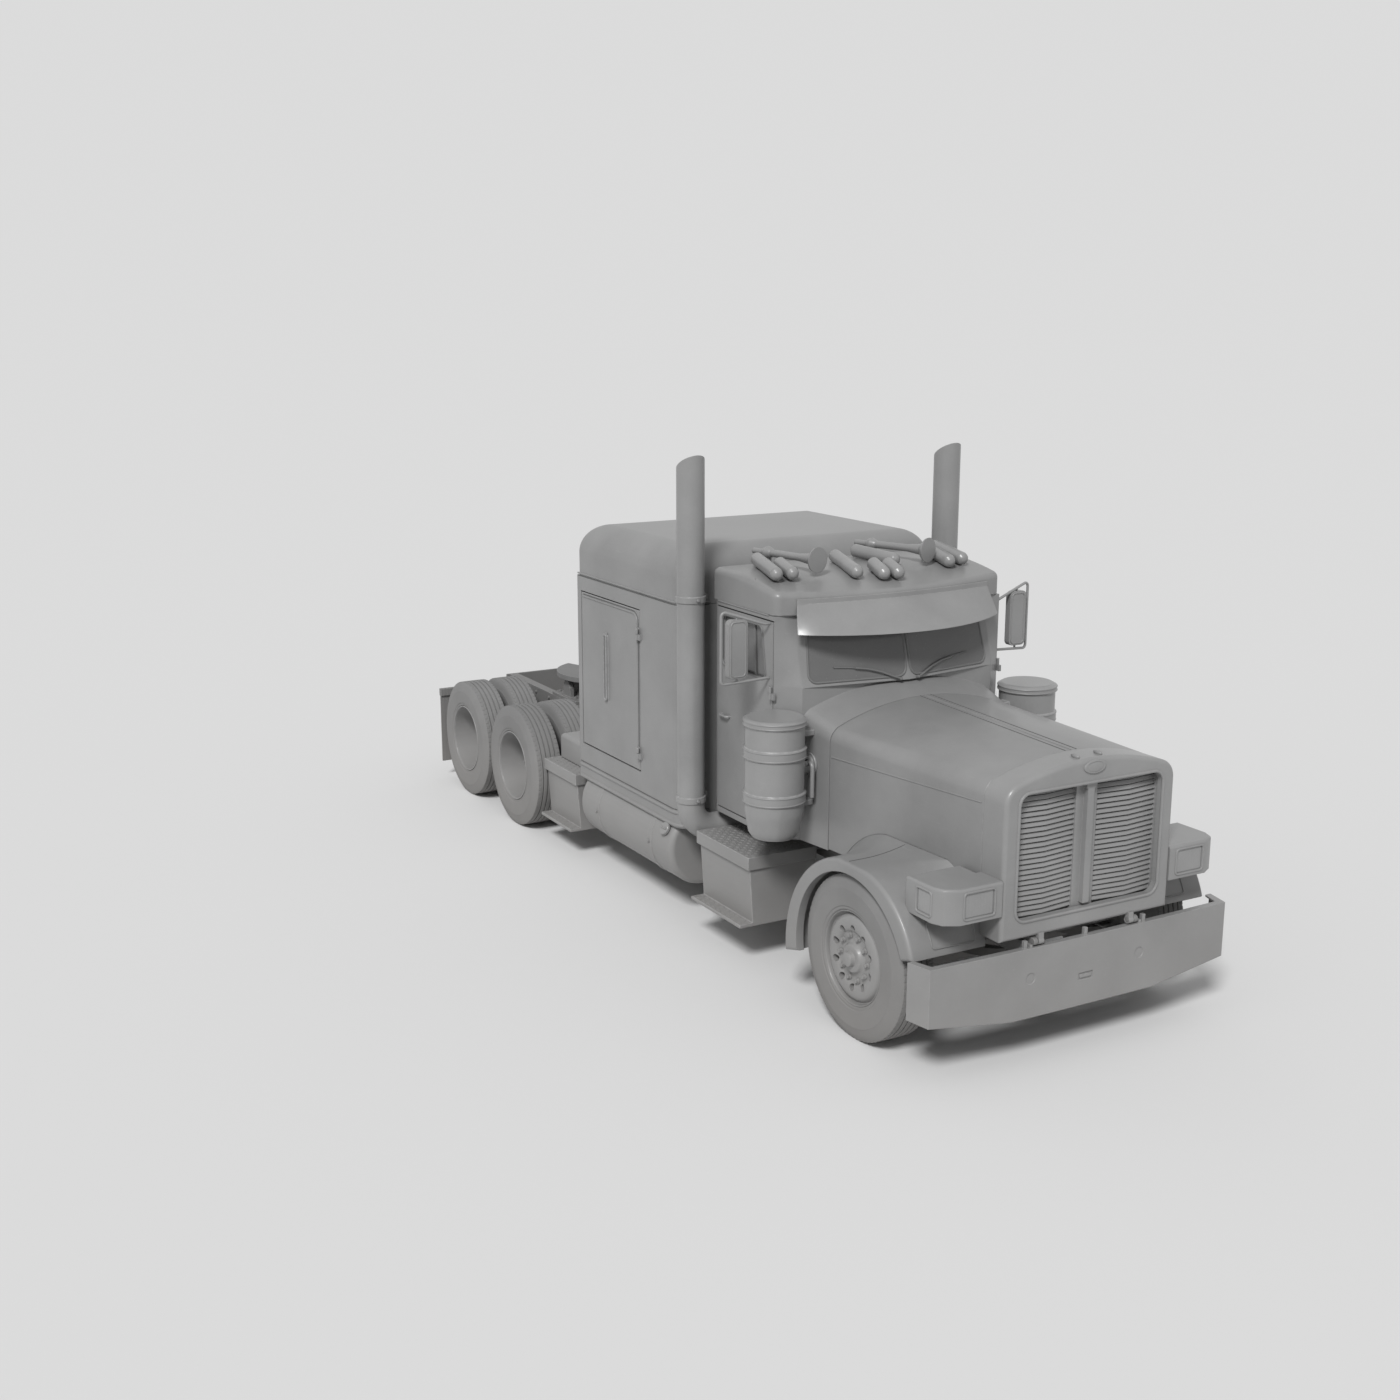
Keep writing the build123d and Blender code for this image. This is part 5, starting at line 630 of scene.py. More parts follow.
NOSE_FACE = -0.850
opening = framed(-0.575, 0.575, 0.946, 1.757, lambda x, z: (x, at(NOSE_FACE), z))
bead("grille_moulding", "hood", [opening], 0.011, bright_steel, "bright_metal", 0.078, True)
BADGE_PAD_LINE = (
    (-0.01, 0.0), (-0.01, 0.043), (0.005, 0.043), (0.010, 0.0395), (0.011, 0.034), (0.0085, 0.031),
    (0.011, 0.028), (0.013, 0.018), (0.0135, 0.0),
)
pad_mesh = lathe("badge_pad", BADGE_PAD_LINE, (0, at(NOSE_FACE), 1.853), (0, -1, 0), 48)
for point in pad_mesh.vertices:
    point.co.x *= 2.05
settle(as_object("badge_pad", pad_mesh), "hood", bright_steel, "bright_metal")

# Hood. Painted sheet over a frame, hinged at the nose: a piano hinge runs down the middle, a crease
# along each side, and two small latch domes stand on the nose behind the badge pad.
body_paint = coat("body_paint", 0.235, 0.40, fine_grain(380.0), film=0.4, wear=0.45, gloss=0.14)
softened("hood_shell", body_paint, "body_paint", 0.006, 3, clamped=False)
seam_filler = coat("seam_filler", 0.10, 0.7, fine_grain(260.0), film=0.3, wear=0.0)
HOOD_START, HOOD_L = -0.64, 1.508
SEAM_FRONT, SEAM_BACK = -0.63, 0.86
CROWN_FRONT, CROWN_RISE = 1.908, 0.047
HALF_FRONT, HALF_GROWTH = 0.675, 0.105


def crown_z(station):
    """Height of the hood's middle line."""
    return CROWN_FRONT + CROWN_RISE * (station - HOOD_START) / HOOD_L


def hood_side(station):
    """Half width of the hood."""
    return HALF_FRONT + HALF_GROWTH * (station - HOOD_START) / HOOD_L


HINGE_HALF = 0.044
hinge_lines = []
for x in (-HINGE_HALF, HINGE_HALF):
    hinge_lines.append([(x, at(s), crown_z(s) - 0.0012) for s in (SEAM_FRONT, SEAM_BACK)])
bead("hood_hinge_seams", "hood", hinge_lines, 0.0035, seam_filler, "trim")
hinge_pin = [(0, at(s), crown_z(s) - 0.001) for s in (SEAM_FRONT, SEAM_BACK)]
bead("hood_hinge_pin", "hood", [hinge_pin], 0.006, body_paint, "body_paint")
CREASE = ((-0.62, 1.665), (0.85, 1.615))
creases = [[(side * (hood_side(s) - 0.001), at(s), z) for s, z in CREASE] for _, side in SIDES]
bead("hood_creases", "hood", creases, 0.0055, body_paint, "body_paint")
LATCH_DOME_LINE = (
    (-0.012, 0.0), (0.0, 0.011), (0.012, 0.0155), (0.028, 0.0165), (0.045, 0.013), (0.062, 0.006),
    (0.07, 0.0),
)
domes = [lathe("dome", LATCH_DOME_LINE, (x, at(-0.80), 1.911), (0, 1, 0.03), 20) for x in (-0.09, 0.09)]
settle(as_object("latch_domes", joined("latch_domes", domes)), "hood", bright_steel, "bright_metal")

# Fenders. Moulded shells that sweep up from a rolled lip into the hood's side, with a sealed joint
# over the wheel and a framed panel pressed into the front below each lamp.
softened("fenders", body_paint, "body_paint", 0.014, 3)
COVE_OUT, COVE_W = 1.060, 0.340
RIM_FRONT = ((-0.664, 0.754), (-0.500, 1.015), (-0.060, 1.177))
HOOD_SIDE_FRONT = ((-0.664, 0.754), (-0.520, 1.080), (-0.300, 1.215))


def cove_rise(x):
    return max(0.0, (COVE_OUT - x) / COVE_W) ** 2


def fender_front(x, z):
    """Station of the fender's front face, on the arc through three points of its outline."""
    rise = cove_rise(x)
    (a, b), (c, d), (e, f) = [
        (s + rise * (hs - s), rz + rise * (hz - rz)) for (s, rz), (hs, hz) in zip(RIM_FRONT, HOOD_SIDE_FRONT)
    ]
    spread = 2 * (a * (d - f) + c * (f - b) + e * (b - d))
    middle_s = ((a * a + b * b) * (d - f) + (c * c + d * d) * (f - b) + (e * e + f * f) * (b - d)) / spread
    middle_z = ((a * a + b * b) * (e - c) + (c * c + d * d) * (a - e) + (e * e + f * f) * (c - a)) / spread
    radius = hypot(a - middle_s, b - middle_z)
    return middle_s - sqrt(radius**2 - (z - middle_z) ** 2)


def fender_top(x):
    """Height of the fender over the wheel at the sealed joint."""
    return 1.177 + 0.046 * cove_rise(x)


PANEL_X = (0.715, 0.83, 0.94, 1.03)
PANEL_Z = (0.800, 0.850, 0.900, 0.945)
panels, joints = [], []
for _, side in SIDES:
    ring = [(x, PANEL_Z[0]) for x in PANEL_X] + [(PANEL_X[-1], z) for z in PANEL_Z[1:]]
    ring += [(x, PANEL_Z[-1]) for x in reversed(PANEL_X[:-1])] + [(PANEL_X[0], z) for z in PANEL_Z[2:0:-1]]
    panels.append([(side * x, at(fender_front(x, z) - 0.001), z) for x, z in ring])
    joints.append([(side * x, at(0.05), fender_top(x)) for x in (0.74, 0.80, 0.86, 0.92, 0.99, 1.06, 1.17)])
bead("fender_panels", "hood", panels, 0.0065, body_paint, "body_paint", 0.02, True)
bead("fender_joints", "hood", joints, 0.003, seam_filler, "trim")

# Headlamps. Bright pods beside the surround, each with a ribbed lens let into its face and a
# smaller one into its side, both held by a rounded frame.
softened("headlamp_pods", bright_steel, "bright_metal", 0.008, 3)


def ribs(place):
    return place.waves(14.0, "X") + 0.6 * place.waves(14.0, "Y")


lamp_glass = coat("lamp_glass", 0.26, 0.20, ribs, depth=0.35, film=0.25, wear=0.2, gloss=0.4)
softened("headlamp_lenses", lamp_glass, "lamp", 0.003)
lens_frames = []
for _, side in SIDES:
    lens_frames.append(framed(0.731, 0.964, 1.036, 1.204, lambda x, z: (side * x, at(NOSE_FACE), z)))
    lens_frames.append(framed(-0.725, -0.575, 1.041, 1.199, lambda s, z: (side * 1.110, at(s), z)))
bead("lens_frames", body_of("headlamp_pods"), lens_frames, 0.0075, bright_steel, "bright_metal", 0.022, True)

# Cab. A riveted and bonded shell: cowl, upright sides and a raked front, with two flat panes of
# tinted glass held in rubber either side of a centre post.
softened("cab_body", body_paint, "body_paint", 0.010, 3)
PANE_FOOT = Vector((0, at(1.048), 2.030))
PANE_HEAD = Vector((0, at(1.178), 2.520))


def pane_point(side, along, up, out=0.0):
    """A point on one windshield pane: along from the centre post, up the pane, out from it."""
    across = (Vector((side * 0.815, at(1.165), 2.030)) - PANE_FOOT).normalized()
    rise = PANE_HEAD - PANE_FOOT
    rise = (rise - across * rise.dot(across)).normalized()
    outward = across.cross(rise) * side
    return PANE_FOOT + across * along + rise * up + outward * out


def tinted_glass(name):
    """Grey tinted glass that shows a little of the cab behind its reflections."""
    material = bpy.data.materials.new(name)
    material.use_nodes = True
    tree = material.node_tree
    tree.nodes.clear()
    place = Socket(tree).node("TexCoord", {}, {}, "Object")
    film = place.noise(2.6, 5.0, 0.6)
    specks = place.noise(90.0, 3.0).ramp(0.62, 0.75)
    shade = (0.7 * film + 0.3 * specks).tint(grey(0.135), grey(0.18))
    shader = tree.nodes.new("ShaderNodeBsdfPrincipled")
    rough = 0.08 + 0.14 * film + 0.2 * specks
    for socket, value in (("Base Color", shade), ("Roughness", rough), ("Alpha", 0.80 + 0.12 * film)):
        tree.links.new(value.source, shader.inputs[socket])
    out = tree.nodes.new("ShaderNodeOutputMaterial")
    tree.links.new(shader.outputs[0], out.inputs["Surface"])
    return material


cab_glass = tinted_glass("cab_glass")
for node in ("windshield", "door_glass_left", "door_glass_right"):
    softened(node, cab_glass, "glazing", 0.0015)
dark_trim = coat("dark_trim", 0.16, 0.55, fine_grain(300.0), film=0.3, wear=0.3)
gaskets = []
for _, side in SIDES:
    outline = ((0.022, 0.029), (0.774, 0.029), (0.752, 0.461), (0.022, 0.461))
    gaskets.append([pane_point(side, along, up, 0.001) for along, up in outline])
bead("windshield_gaskets", "chassis", gaskets, 0.009, dark_trim, "trim", 0.064, True)

# Wipers. A bent steel arm swings from a spindle by the centre post and presses a rubber blade to
# each pane.
ARM_PATH = ((0.075, 0.010), (0.13, 0.030), (0.22, 0.068), (0.32, 0.096), (0.42, 0.110))
BLADE_PATH = ((0.20, 0.052), (0.32, 0.092), (0.44, 0.114), (0.58, 0.126))
arms = [[pane_point(side, along, up, 0.020) for along, up in ARM_PATH] for _, side in SIDES]
bead("wiper_arms", "chassis", arms, 0.0075, dark_trim, "trim", 0.10, replaced=("wipers",))
blades = [[pane_point(side, along, up, 0.010) for along, up in BLADE_PATH] for _, side in SIDES]
bead("wiper_blades", "chassis", blades, 0.0055, dark_trim, "trim", 0.15)
SPINDLE_LINE = ((-0.03, 0.0), (-0.03, 0.013), (0.020, 0.013), (0.027, 0.009), (0.028, 0.0))
spindles = []
for _, side in SIDES:
    foot = pane_point(side, 0.075, 0.010)
    outward = pane_point(side, 0.075, 0.010, 1.0) - foot
    spindles.append(lathe("spindle", SPINDLE_LINE, foot, outward, 16))
settle(as_object("wiper_spindles", joined("wiper_spindles", spindles)), "chassis", dark_trim, "trim")

# Cab roof and visor. A pressed cap with a drip rail along each side, and a bent bright sheet hung
# over the panes from the cap's brow.
softened("cab_roof", body_paint, "body_paint", 0.012, 3, clamped=False)
softened("sun_visor", bright_steel, "bright_metal", 0.004, bend=9)
drip_rails = []
for _, side in SIDES:
    drip_rails.append([(side * 0.9705, at(s), 2.521) for s in (1.36, 2.05)])
bead("cab_drip_rails", "chassis", drip_rails, 0.006, body_paint, "body_paint")

# Doors and mirrors. Flush doors on outside hinges, with a framed window, a vent bar and a pull
# handle; each carries a mirror in a rounded case on a loop of bent tube.
WINDOW = ((1.385, 2.065), (1.985, 2.065), (1.985, 2.435), (1.450, 2.435))
DOOR_FACE = 0.970
VENT_BAR = ((0.948, 1.555, 2.060), (0.948, 1.575, 2.440))
PULL = ((0.965, 1.875, 1.700), (1.000, 1.880, 1.700), (1.000, 1.985, 1.700), (0.965, 1.990, 1.700))


def rounded_plate(name, corners, radius, thick):
    """A flat plate with round corners, given by its corners in order, thickened along thick."""
    work = bmesh.new()
    rim = []
    for k, corner in enumerate(corners):
        corner = Vector(corner)
        back = (Vector(corners[k - 1]) - corner).normalized()
        ahead = (Vector(corners[(k + 1) % len(corners)]) - corner).normalized()
        centre = corner + radius * (back + ahead)
        for step in range(7):
            turn = pi / 2 * step / 6
            rim.append(work.verts.new(centre - radius * (ahead * cos(turn) + back * sin(turn))))
    face = work.faces.new(rim)
    lifted = bmesh.ops.extrude_face_region(work, geom=[face])["geom"]
    bmesh.ops.translate(work, vec=thick, verts=[v for v in lifted if isinstance(v, bmesh.types.BMVert)])
    bmesh.ops.recalc_face_normals(work, faces=work.faces)
    mesh = bpy.data.meshes.new(name)
    work.to_mesh(mesh)
    work.free()
    return as_object(name, mesh)


for name, side in SIDES:
    softened(f"door_{name}", body_paint, "body_paint", 0.006, 3)
    softened(f"mirror_{name}", bright_steel, "bright_metal", 0.005, 3)
    body = body_of(f"door_{name}")
    frame_line = [(side * DOOR_FACE, at(s), z) for s, z in WINDOW]
    bead(f"window_frame_{name}", body, [frame_line], 0.0085, dark_trim, "trim", 0.045, True)
    vent, handle = [[(side * x, at(s), z) for x, s, z in path] for path in (VENT_BAR, PULL)]
    bead(f"vent_bar_{name}", body, [vent], 0.009, dark_trim, "trim")
    bead(f"door_pull_{name}", body, [handle], 0.009, bright_steel, "bright_metal", 0.02)
    mirror_body = body_of(f"mirror_{name}")
    ring = framed(1.151, 1.269, 2.118, 2.496, lambda x, z: (side * x, at(1.358), z))
    bead(f"mirror_ring_{name}", mirror_body, [ring], 0.0055, bright_steel, "bright_metal", 0.03, True)
    glass = framed(1.149, 1.271, 2.116, 2.498, lambda x, z: (side * x, at(1.407), z))
    plate = rounded_plate(f"mirror_glass_{name}", glass, 0.028, (0, 0.006, 0))
    settle(plate, mirror_body, cab_glass, "glazing")

# Roof horns and lamps. Turned trumpets and torpedo-shaped lamp cases of bright metal, each screwed
# to the roof on a short foot.
softened("roof_horns", bright_steel, "bright_metal", 0.003)
softened("roof_lamps", bright_steel, "lamp", 0.003)

# Inside. A moulded dash with the steering wheel, two stuffed seats on pedestals, and in the
# sleeper a bunk whose mattress and pillow lie on a plain box.


def hide(place):
    return place.node("TexVoronoi", {}, {"Vector": place, "Scale": 160.0})


moulded_trim = coat("moulded_trim", 0.20, 0.6, hide, depth=0.25, film=0.0, wear=0.2)
softened("dashboard", moulded_trim, "trim", 0.012, 3)


def weave(place):
    return place.waves(190.0, "X") * place.waves(190.0, "Z") + 0.5 * place.waves(190.0, "Y")


seat_cloth = coat("seat_cloth", 0.22, 0.92, weave, depth=0.4, film=0.0, wear=0.0)


def cushion(name, middle, size, up, channels, node):
    """A stuffed pad: crowned faces, sides drawn in between the corners, sewn channels across."""
    work = bmesh.new()
    bmesh.ops.create_cube(work, size=2.0)
    bmesh.ops.subdivide_edges(work, edges=work.edges[:], cuts=22, use_grid_fill=True)
    for point in work.verts:
        shape = list(point.co)
        length = sum(abs(c) ** 7 for c in shape) ** (1 / 7)
        shape = [c / length for c in shape]
        others = [k for k in range(3) if k != up]
        wide, deep = shape[others[0]], shape[others[1]]
        middle_ness = (1 - wide**2) * (1 - deep**2)
        sewn = sum(exp(-(((wide - place) / 0.045) ** 2)) for place in channels)
        shape[up] *= 0.80 + 0.20 * middle_ness - 0.07 * sewn
        shape[others[0]] *= 1 - 0.035 * (1 - deep**2)
        shape[others[1]] *= 1 - 0.035 * (1 - wide**2)
        point.co = Vector(middle) + Vector(c * s / 2 for c, s in zip(shape, size))
    bmesh.ops.recalc_face_normals(work, faces=work.faces)
    mesh = bpy.data.meshes.new(name)
    work.to_mesh(mesh)
    work.free()
    piece = settle(as_object(name, mesh), "chassis", seat_cloth, "seat_cloth", node)


SEAT_CHANNELS = (-0.52, 0.0, 0.52)
for name, side in SIDES:
    seat_x = side * 0.470
    seat, back = (seat_x, at(1.795), 1.322), (seat_x, at(2.018), 1.680)
    cushion(f"seat_cushion_{name}", seat, (0.50, 0.47, 0.130), 2, SEAT_CHANNELS, "seats")
    cushion(f"seat_back_{name}", back, (0.48, 0.115, 0.62), 1, SEAT_CHANNELS, "seats")
    post = framed(-0.12, 0.12, 1.64, 1.93, lambda x, s: (seat_x + x, at(s), 1.0))
    settle(rounded_plate(f"seat_post_{name}", post, 0.03, (0, 0, 0.262)), "chassis", moulded_trim, "trim")
bunk_low, bunk_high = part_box("bunk")
bunk_mid = (bunk_low + bunk_high) / 2
box = framed(bunk_low.x, bunk_high.x, bunk_low.y, bunk_high.y, lambda x, y: (x, y, bunk_low.z))
settle(rounded_plate("bunk_box", box, 0.03, (0, 0, 0.24)), "chassis", moulded_trim, "trim", "bunk")
BED = (bunk_high.x - bunk_low.x - 0.02, bunk_high.y - bunk_low.y - 0.02, 0.150)
QUILTING = (-0.75, -0.5, -0.25, 0.0, 0.25, 0.5, 0.75)
cushion("bunk_mattress", (0, bunk_mid.y, bunk_low.z + 0.305), BED, 2, QUILTING, "bunk")
cushion("bunk_pillow", (0.80, bunk_mid.y, bunk_low.z + 0.385), (0.40, 0.62, 0.10), 2, (), "bunk")

# Sleeper. A painted box of riveted aluminium on the rails, with a rolled roof cap over a sealed
# seam, a rub rail above the skirt, and in each side a door with a raised ridge and a long pull.
softened("sleeper_body", body_paint, "body_paint", 0.010, 3, merged=False)
softened("sleeper_roof", body_paint, "body_paint", 0.008, 3, clamped=False)
SLEEPER_SIDE = 1.140
SLEEPER_FRONT, SLEEPER_BACK = 2.300, 4.050
SLEEPER_CORNER = 0.140


def round_sleeper(z, proud):
    """Paths along both sides of the sleeper and round its front corners at one height."""
    paths = []
    for _, side in SIDES:
        x = side * (SLEEPER_SIDE + proud)
        path = ((x, SLEEPER_BACK - 0.02), (x, SLEEPER_FRONT - proud), (side * 0.90, SLEEPER_FRONT - proud))
        paths.append([(px, at(s), z) for px, s in path])
    return paths


roof_seam, drip_rail, skirt_seam = [round_sleeper(z, 0.0) for z in (2.450, 2.468, 0.893)]
bead("sleeper_roof_seam", "chassis", roof_seam, 0.0045, seam_filler, "trim", SLEEPER_CORNER)
bead("sleeper_drip_rail", "chassis", drip_rail, 0.008, body_paint, "body_paint", SLEEPER_CORNER)
bead("sleeper_skirt_seam", "chassis", skirt_seam, 0.004, seam_filler, "trim", SLEEPER_CORNER)
skirt_rails = round_sleeper(0.868, -0.004) + round_sleeper(0.768, -0.006)
bead("sleeper_rub_rails", "chassis", skirt_rails, 0.017, body_paint, "body_paint", SLEEPER_CORNER, sides=14)
BACK_SEAMS = (-0.62, 0.0, 0.62)
BACK_LOW, BACK_HIGH = 0.79, 2.43
back_lines = [[(x, at(SLEEPER_BACK), z) for z in (BACK_LOW, BACK_HIGH)] for x in BACK_SEAMS]
bead("sleeper_back_seams", "chassis", back_lines, 0.0035, seam_filler, "trim")
RIVETS = 28
RIVET_PITCH = (BACK_HIGH - BACK_LOW) / RIVETS
RIVET_OFFSET = 0.022
rivet_rows = [x + side * RIVET_OFFSET for x in BACK_SEAMS for _, side in SIDES]
rivet_heights = [BACK_LOW + RIVET_PITCH * (k + 0.5) for k in range(RIVETS)]
rivets = [(x, at(SLEEPER_BACK), z) for x in rivet_rows for z in rivet_heights]
out_back = (-pi / 2, 0, 0)
bolt_heads("sleeper_back_rivets", "chassis", rivets, out_back, 0.0065, 0.003, body_paint, "body_paint")
RIDGE = ((3.955, 2.290), (2.990, 2.290), (2.990, 1.230))
for name, side in SIDES:
    softened(f"bunk_door_{name}", body_paint, "body_paint", 0.006, 3, clamped=False)
    ridge = [(side * SLEEPER_SIDE, at(s), z) for s, z in RIDGE]
    door = body_of(f"bunk_door_{name}")
    bead(f"bunk_door_ridge_{name}", door, [ridge], 0.009, body_paint, "body_paint", 0.07)
    groove = [(side * SLEEPER_SIDE, at(s - 0.016), z + 0.016) for s, z in RIDGE]
    bead(f"bunk_door_groove_{name}", door, [groove], 0.0035, seam_filler, "trim", 0.085)

# Fuel tanks. Rolled aluminium drums under the sleeper on strap hangers, with a screwed filler cap
# near the front and the straps' bolts drawn up at the side.
brushed_metal = coat(
    "brushed_metal", 0.25, 0.38, brushed_along, depth=0.05, film=0.6, streak=(1, 0.05, 1), gloss=0.1
)
softened("fuel_tanks", brushed_metal, "bright_metal", 0.008, 3)
TANK_X, TANK_Z, TANK_RADIUS = 0.870, 0.560, 0.310
CAP_LINE = (
    (-0.03, 0.0), (-0.03, 0.040), (0.006, 0.040), (0.008, 0.052), (0.026, 0.052), (0.031, 0.047),
    (0.031, 0.0),
)
CAP_TURN = radians(62)
caps, cap_bars = [], []
for _, side in SIDES:
    outward = Vector((side * sin(CAP_TURN), 0, cos(CAP_TURN)))
    spot = Vector((side * TANK_X, at(2.520), TANK_Z)) + outward * TANK_RADIUS
    caps.append(lathe("cap", CAP_LINE, spot, outward, 28))
    cap_bars.append([spot + outward * 0.034 + Vector((0, y, 0)) for y in (-0.04, 0.04)])
settle(as_object("filler_caps", joined("filler_caps", caps)), "chassis", bright_steel, "bright_metal")
bead("filler_cap_bars", "chassis", cap_bars, 0.007, bright_steel, "bright_metal")
for name, side in SIDES:
    spots = [(side * (TANK_X + TANK_RADIUS + 0.005), at(s), TANK_Z) for s in (2.740, 3.650)]
    turn = (0, side * pi / 2, 0)
    bolt_heads(f"strap_bolts_{name}", "chassis", spots, turn, 0.014, 0.014, bright_steel, "bright_metal")

# Steps and stowage. Folded sheet boxes beside the rails: the steps' lids and treads are chequer
# plate with raised lugs, and the stowage boxes behind the sleeper have plain rounded lids.
for node in ("step_boxes", "stowage_boxes"):
    softened(node, brushed_metal, "bright_metal", 0.008, 3)


def chequer_tree():
    """Raised lugs over a flat field, each turned across its neighbours."""
    sizes = {"Length": "Float", "Width": "Float", "Rows": "Int", "Columns": "Int"}
    tree, given = new_tree("chequer_plate", {**sizes, "Lug": "Vector", "Centre": "Vector"})
    field = {"Size X": given["Width"], "Size Y": given["Length"]}
    field.update({"Vertices X": given["Columns"], "Vertices Y": given["Rows"]})
    grid = grown(tree, "GeometryNodeMeshGrid", {}, field)
    ball = grown(tree, "GeometryNodeMeshUVSphere", {}, {"Segments": 8, "Rings": 4, "Radius": 1.0})
    lug = grown(tree, "GeometryNodeTransform", {}, {"Geometry": ball, "Scale": given["Lug"]})
    count = grown(tree, "GeometryNodeInputIndex", {}, {})
    odd = grown(tree, "ShaderNodeMath", {"operation": "MODULO"}, {0: count, 1: 2.0})
    turn = grown(tree, "ShaderNodeMath", {"operation": "MULTIPLY_ADD"}, {0: odd, 1: pi / 2, 2: pi / 4})
    facing = grown(tree, "ShaderNodeCombineXYZ", {}, {"Z": turn})
    spots = {"Points": grid, "Instance": lug, "Rotation": facing}
    spread = grown(tree, "GeometryNodeInstanceOnPoints", {}, spots)
    moved = {"Geometry": spread, "Translation": given["Centre"]}
    return ended(tree, given, grown(tree, "GeometryNodeTransform", {}, moved))


plate_tree = chequer_tree()
LUG_PITCH = 0.036
# columns: front and back stations, inner and outer X, height
PLATE_TABLE = (
    (1.310, 2.050, 0.580, 1.150, 0.826),
    (1.328, 2.032, 1.102, 1.205, 0.335),
    (4.130, 4.768, 0.580, 1.150, 0.738),
    (4.148, 4.750, 1.102, 1.195, 0.262),
)
for name, side in SIDES:
    meshes = []
    for front, back, inner, outer, height in PLATE_TABLE:
        length, width = back - front - 0.05, outer - inner - 0.05
        lugs = {
            "Length": length,
            "Width": width,
            "Rows": 2 * int(length / LUG_PITCH / 2) + 1,
            "Columns": max(2, int(width / LUG_PITCH) + 1),
            "Lug": (0.015, 0.0045, 0.003),
            "Centre": (side * (inner + outer) / 2, at((front + back) / 2), height),
            "Finish": brushed_metal,
        }
        meshes.append(taken_mesh(through(plate_tree, "chequer", [], [], lugs)))
    piece = as_object(f"step_chequer_{name}", joined(f"step_chequer_{name}", meshes))
    settle(piece, "chassis", brushed_metal, "bright_metal")

# Exhaust stacks. Bright pipes cut at a slant, clamped to the sleeper and let into an elbow at the
# foot; each clamp band is drawn up by a bolt.
softened("exhaust_stacks", bright_steel, "bright_metal", 0.004)
for name, side in SIDES:
    spots = [(side * 1.130, at(2.170) - 0.111, z) for z in (1.040, 2.530)]
    turn = (pi / 2, 0, 0)
    bolt_heads(f"stack_bolts_{name}", "chassis", spots, turn, 0.012, 0.012, bright_steel, "bright_metal")

# Air cleaners. Banded canisters of bright sheet beside the cowl, under a pressed lid with a rolled
# edge, strapped to arms and joined to the cowl by a flanged duct.
softened("air_cleaners", bright_steel, "bright_metal", 0.006, 3, clamped=False)
CLEANER_X, CLEANER_Y = 1.090, at(1.075)
BAND_EDGES = (1.310, 1.365, 1.620, 1.675, 1.842, 1.869)
BAND_RADIUS = 0.2125
band_rings = []
for _, side in SIDES:
    for z in BAND_EDGES:
        band_rings.append(
            [(side * CLEANER_X + BAND_RADIUS * c, CLEANER_Y + BAND_RADIUS * s, z) for c, s in ring_steps(56)]
        )
bead("air_cleaner_bands", "chassis", band_rings, 0.007, bright_steel, "bright_metal", loop=True)

# Coupling. A cast plate that rocks on a base bolted across the rails, greased on top, with a
# throat for the trailer's pin.
for node in ("coupling_base", "coupling_plate"):
    softened(node, cast_steel, "forged", 0.006)
BED_BOLTS = (-0.22, -0.13, 0.13, 0.22)
bed_spots = [(side * 0.3715, at(5.900 + s), 0.980) for _, side in SIDES for s in BED_BOLTS]
bolt_heads("coupling_bolts", "chassis", bed_spots, (0, 0, 0), 0.016, 0.014, cast_steel, "forged")

# Mudflaps and tail lamps. Ribbed rubber sheets hang behind the last tyres from steel hangers with a
# weight bar along the foot, and round lamps sit in rims on the end plate.


def sheet_ribs(place):
    return place.waves(9.0, "X")


flap_rubber = coat("flap_rubber", 0.18, 0.8, sheet_ribs, depth=0.3, film=0.8, wear=0.2)
softened("mudflaps", flap_rubber, "flap_rubber", 0.003)
flap_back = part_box("mudflaps")[1].y
bars = [[(side * x, flap_back - 0.012, 0.185) for x in (0.63, 1.185)] for _, side in SIDES]
bead("mudflap_bars", "chassis", bars, 0.010, bright_steel, "bright_metal")
softened("tail_lamps", lamp_glass, "lamp", 0.004)
LAMP_PLACES = (-0.370, -0.250, 0.250, 0.370)
LAMP_Z, LAMP_RADIUS = 0.855, 0.054
lamp_rims = []
for x in LAMP_PLACES:
    rim = [(x + LAMP_RADIUS * c, at(7.224), LAMP_Z + LAMP_RADIUS * s) for c, s in ring_steps(28)]
    lamp_rims.append(rim)
bead("tail_lamp_rims", "chassis", lamp_rims, 0.006, bright_steel, "bright_metal", loop=True)

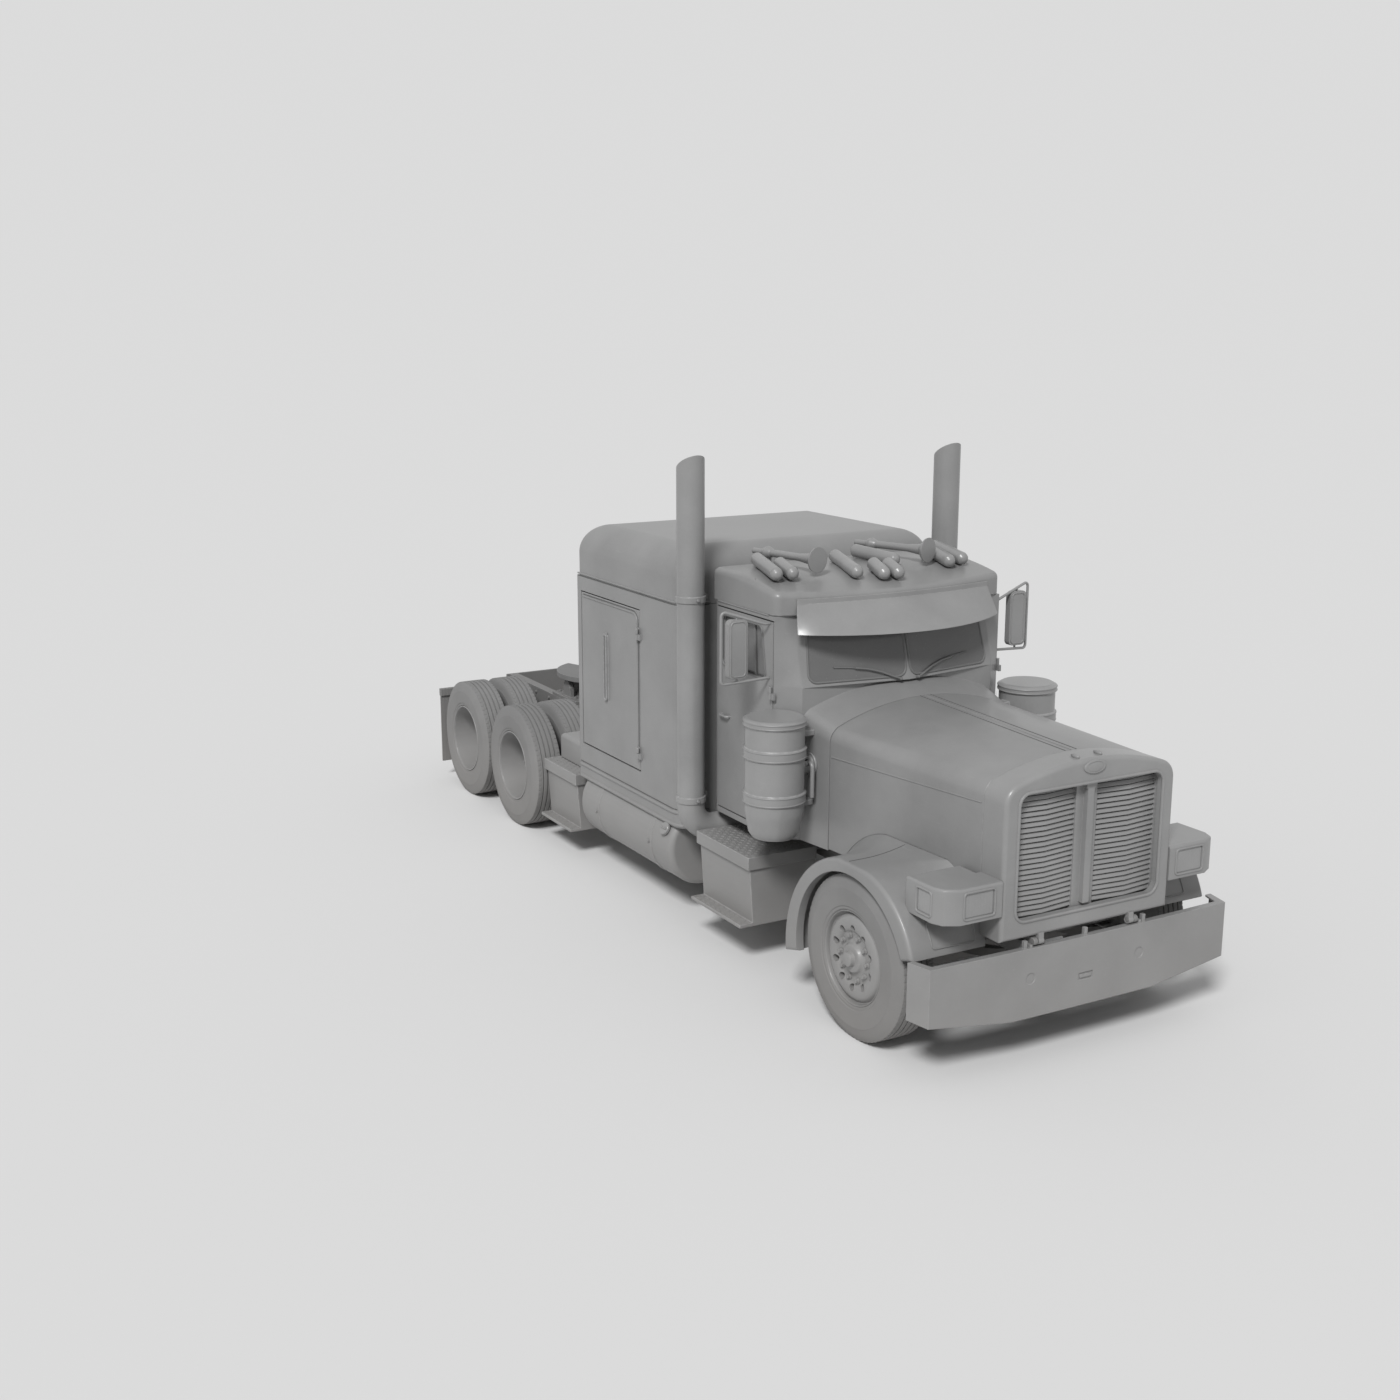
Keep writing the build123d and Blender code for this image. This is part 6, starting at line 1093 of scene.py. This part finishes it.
# Studio. A pale floor that runs into a surround of the same pale grey, a broad sun high on the
# camera's left and even light from all round.
FLOOR_REACH = 150.0
SUN_FROM = Vector((-0.62, -0.60, 0.82))
SUN_POWER = 2.55
SKY = 0.43
FLOOR_TONE = 0.72
PALE = FLOOR_TONE * (SKY + SUN_POWER * SUN_FROM.normalized().z / pi)
corners = framed(-FLOOR_REACH, FLOOR_REACH, -FLOOR_REACH, FLOOR_REACH, lambda x, y: (x, y, 0))
floor_mesh = bpy.data.meshes.new("floor")
floor_mesh.from_pydata(corners, [], [(0, 1, 2, 3)])
floor = as_object("floor", floor_mesh)
floor_paint = bpy.data.materials.new("floor_paint")
floor_paint.use_nodes = True
matt = floor_paint.node_tree.nodes["Principled BSDF"].inputs
matt["Base Color"].default_value = (*grey(FLOOR_TONE), 1)
matt["Roughness"].default_value = 1.0
matt["Specular IOR Level"].default_value = 0.0
floor.data.materials.append(floor_paint)

world = bpy.data.worlds.new("surround")
bpy.context.scene.world = world
world.use_nodes = True
sky = world.node_tree
sky.nodes.clear()
ray = Socket(sky).node("LightPath", {}, {}, "Is Camera Ray")
sheen = Socket(ray.tree, ray.source.node.outputs["Is Glossy Ray"])
clear = Socket(ray.tree, ray.source.node.outputs["Is Transmission Ray"])
seen = (ray + sheen + clear).ramp(0.0, 1.0)
tone = seen.tint(grey(SKY), grey(PALE))
surround = sky.nodes.new("ShaderNodeBackground")
sky.links.new(tone.source, surround.inputs["Color"])
sky.links.new(surround.outputs[0], sky.nodes.new("ShaderNodeOutputWorld").inputs["Surface"])

sun_data = bpy.data.lights.new("sun", "SUN")
sun_data.energy = SUN_POWER
sun_data.angle = radians(14)
sun = bpy.data.objects.new("sun", sun_data)
sun.rotation_euler = (-SUN_FROM).to_track_quat("-Z", "Y").to_euler()
bpy.context.scene.collection.objects.link(sun)

# Camera at the photograph's place, a little above the cab and ahead of the right front corner.
camera_data = bpy.data.cameras.new("camera")
camera_data.sensor_width = 36.0
camera_data.lens = 43.45
camera_data.clip_end = 500.0
camera = bpy.data.objects.new("camera", camera_data)
camera.location = (-6.942, -11.492, 4.579)
CAMERA_YAW = radians(29.354)
CAMERA_DIP = radians(13.143)
sight = Vector((cos(CAMERA_DIP) * sin(CAMERA_YAW), cos(CAMERA_DIP) * cos(CAMERA_YAW), -sin(CAMERA_DIP)))
camera.rotation_euler = sight.to_track_quat("-Z", "Y").to_euler()
bpy.context.scene.collection.objects.link(camera)
bpy.context.scene.camera = camera
bpy.context.scene.view_settings.view_transform = "Standard"
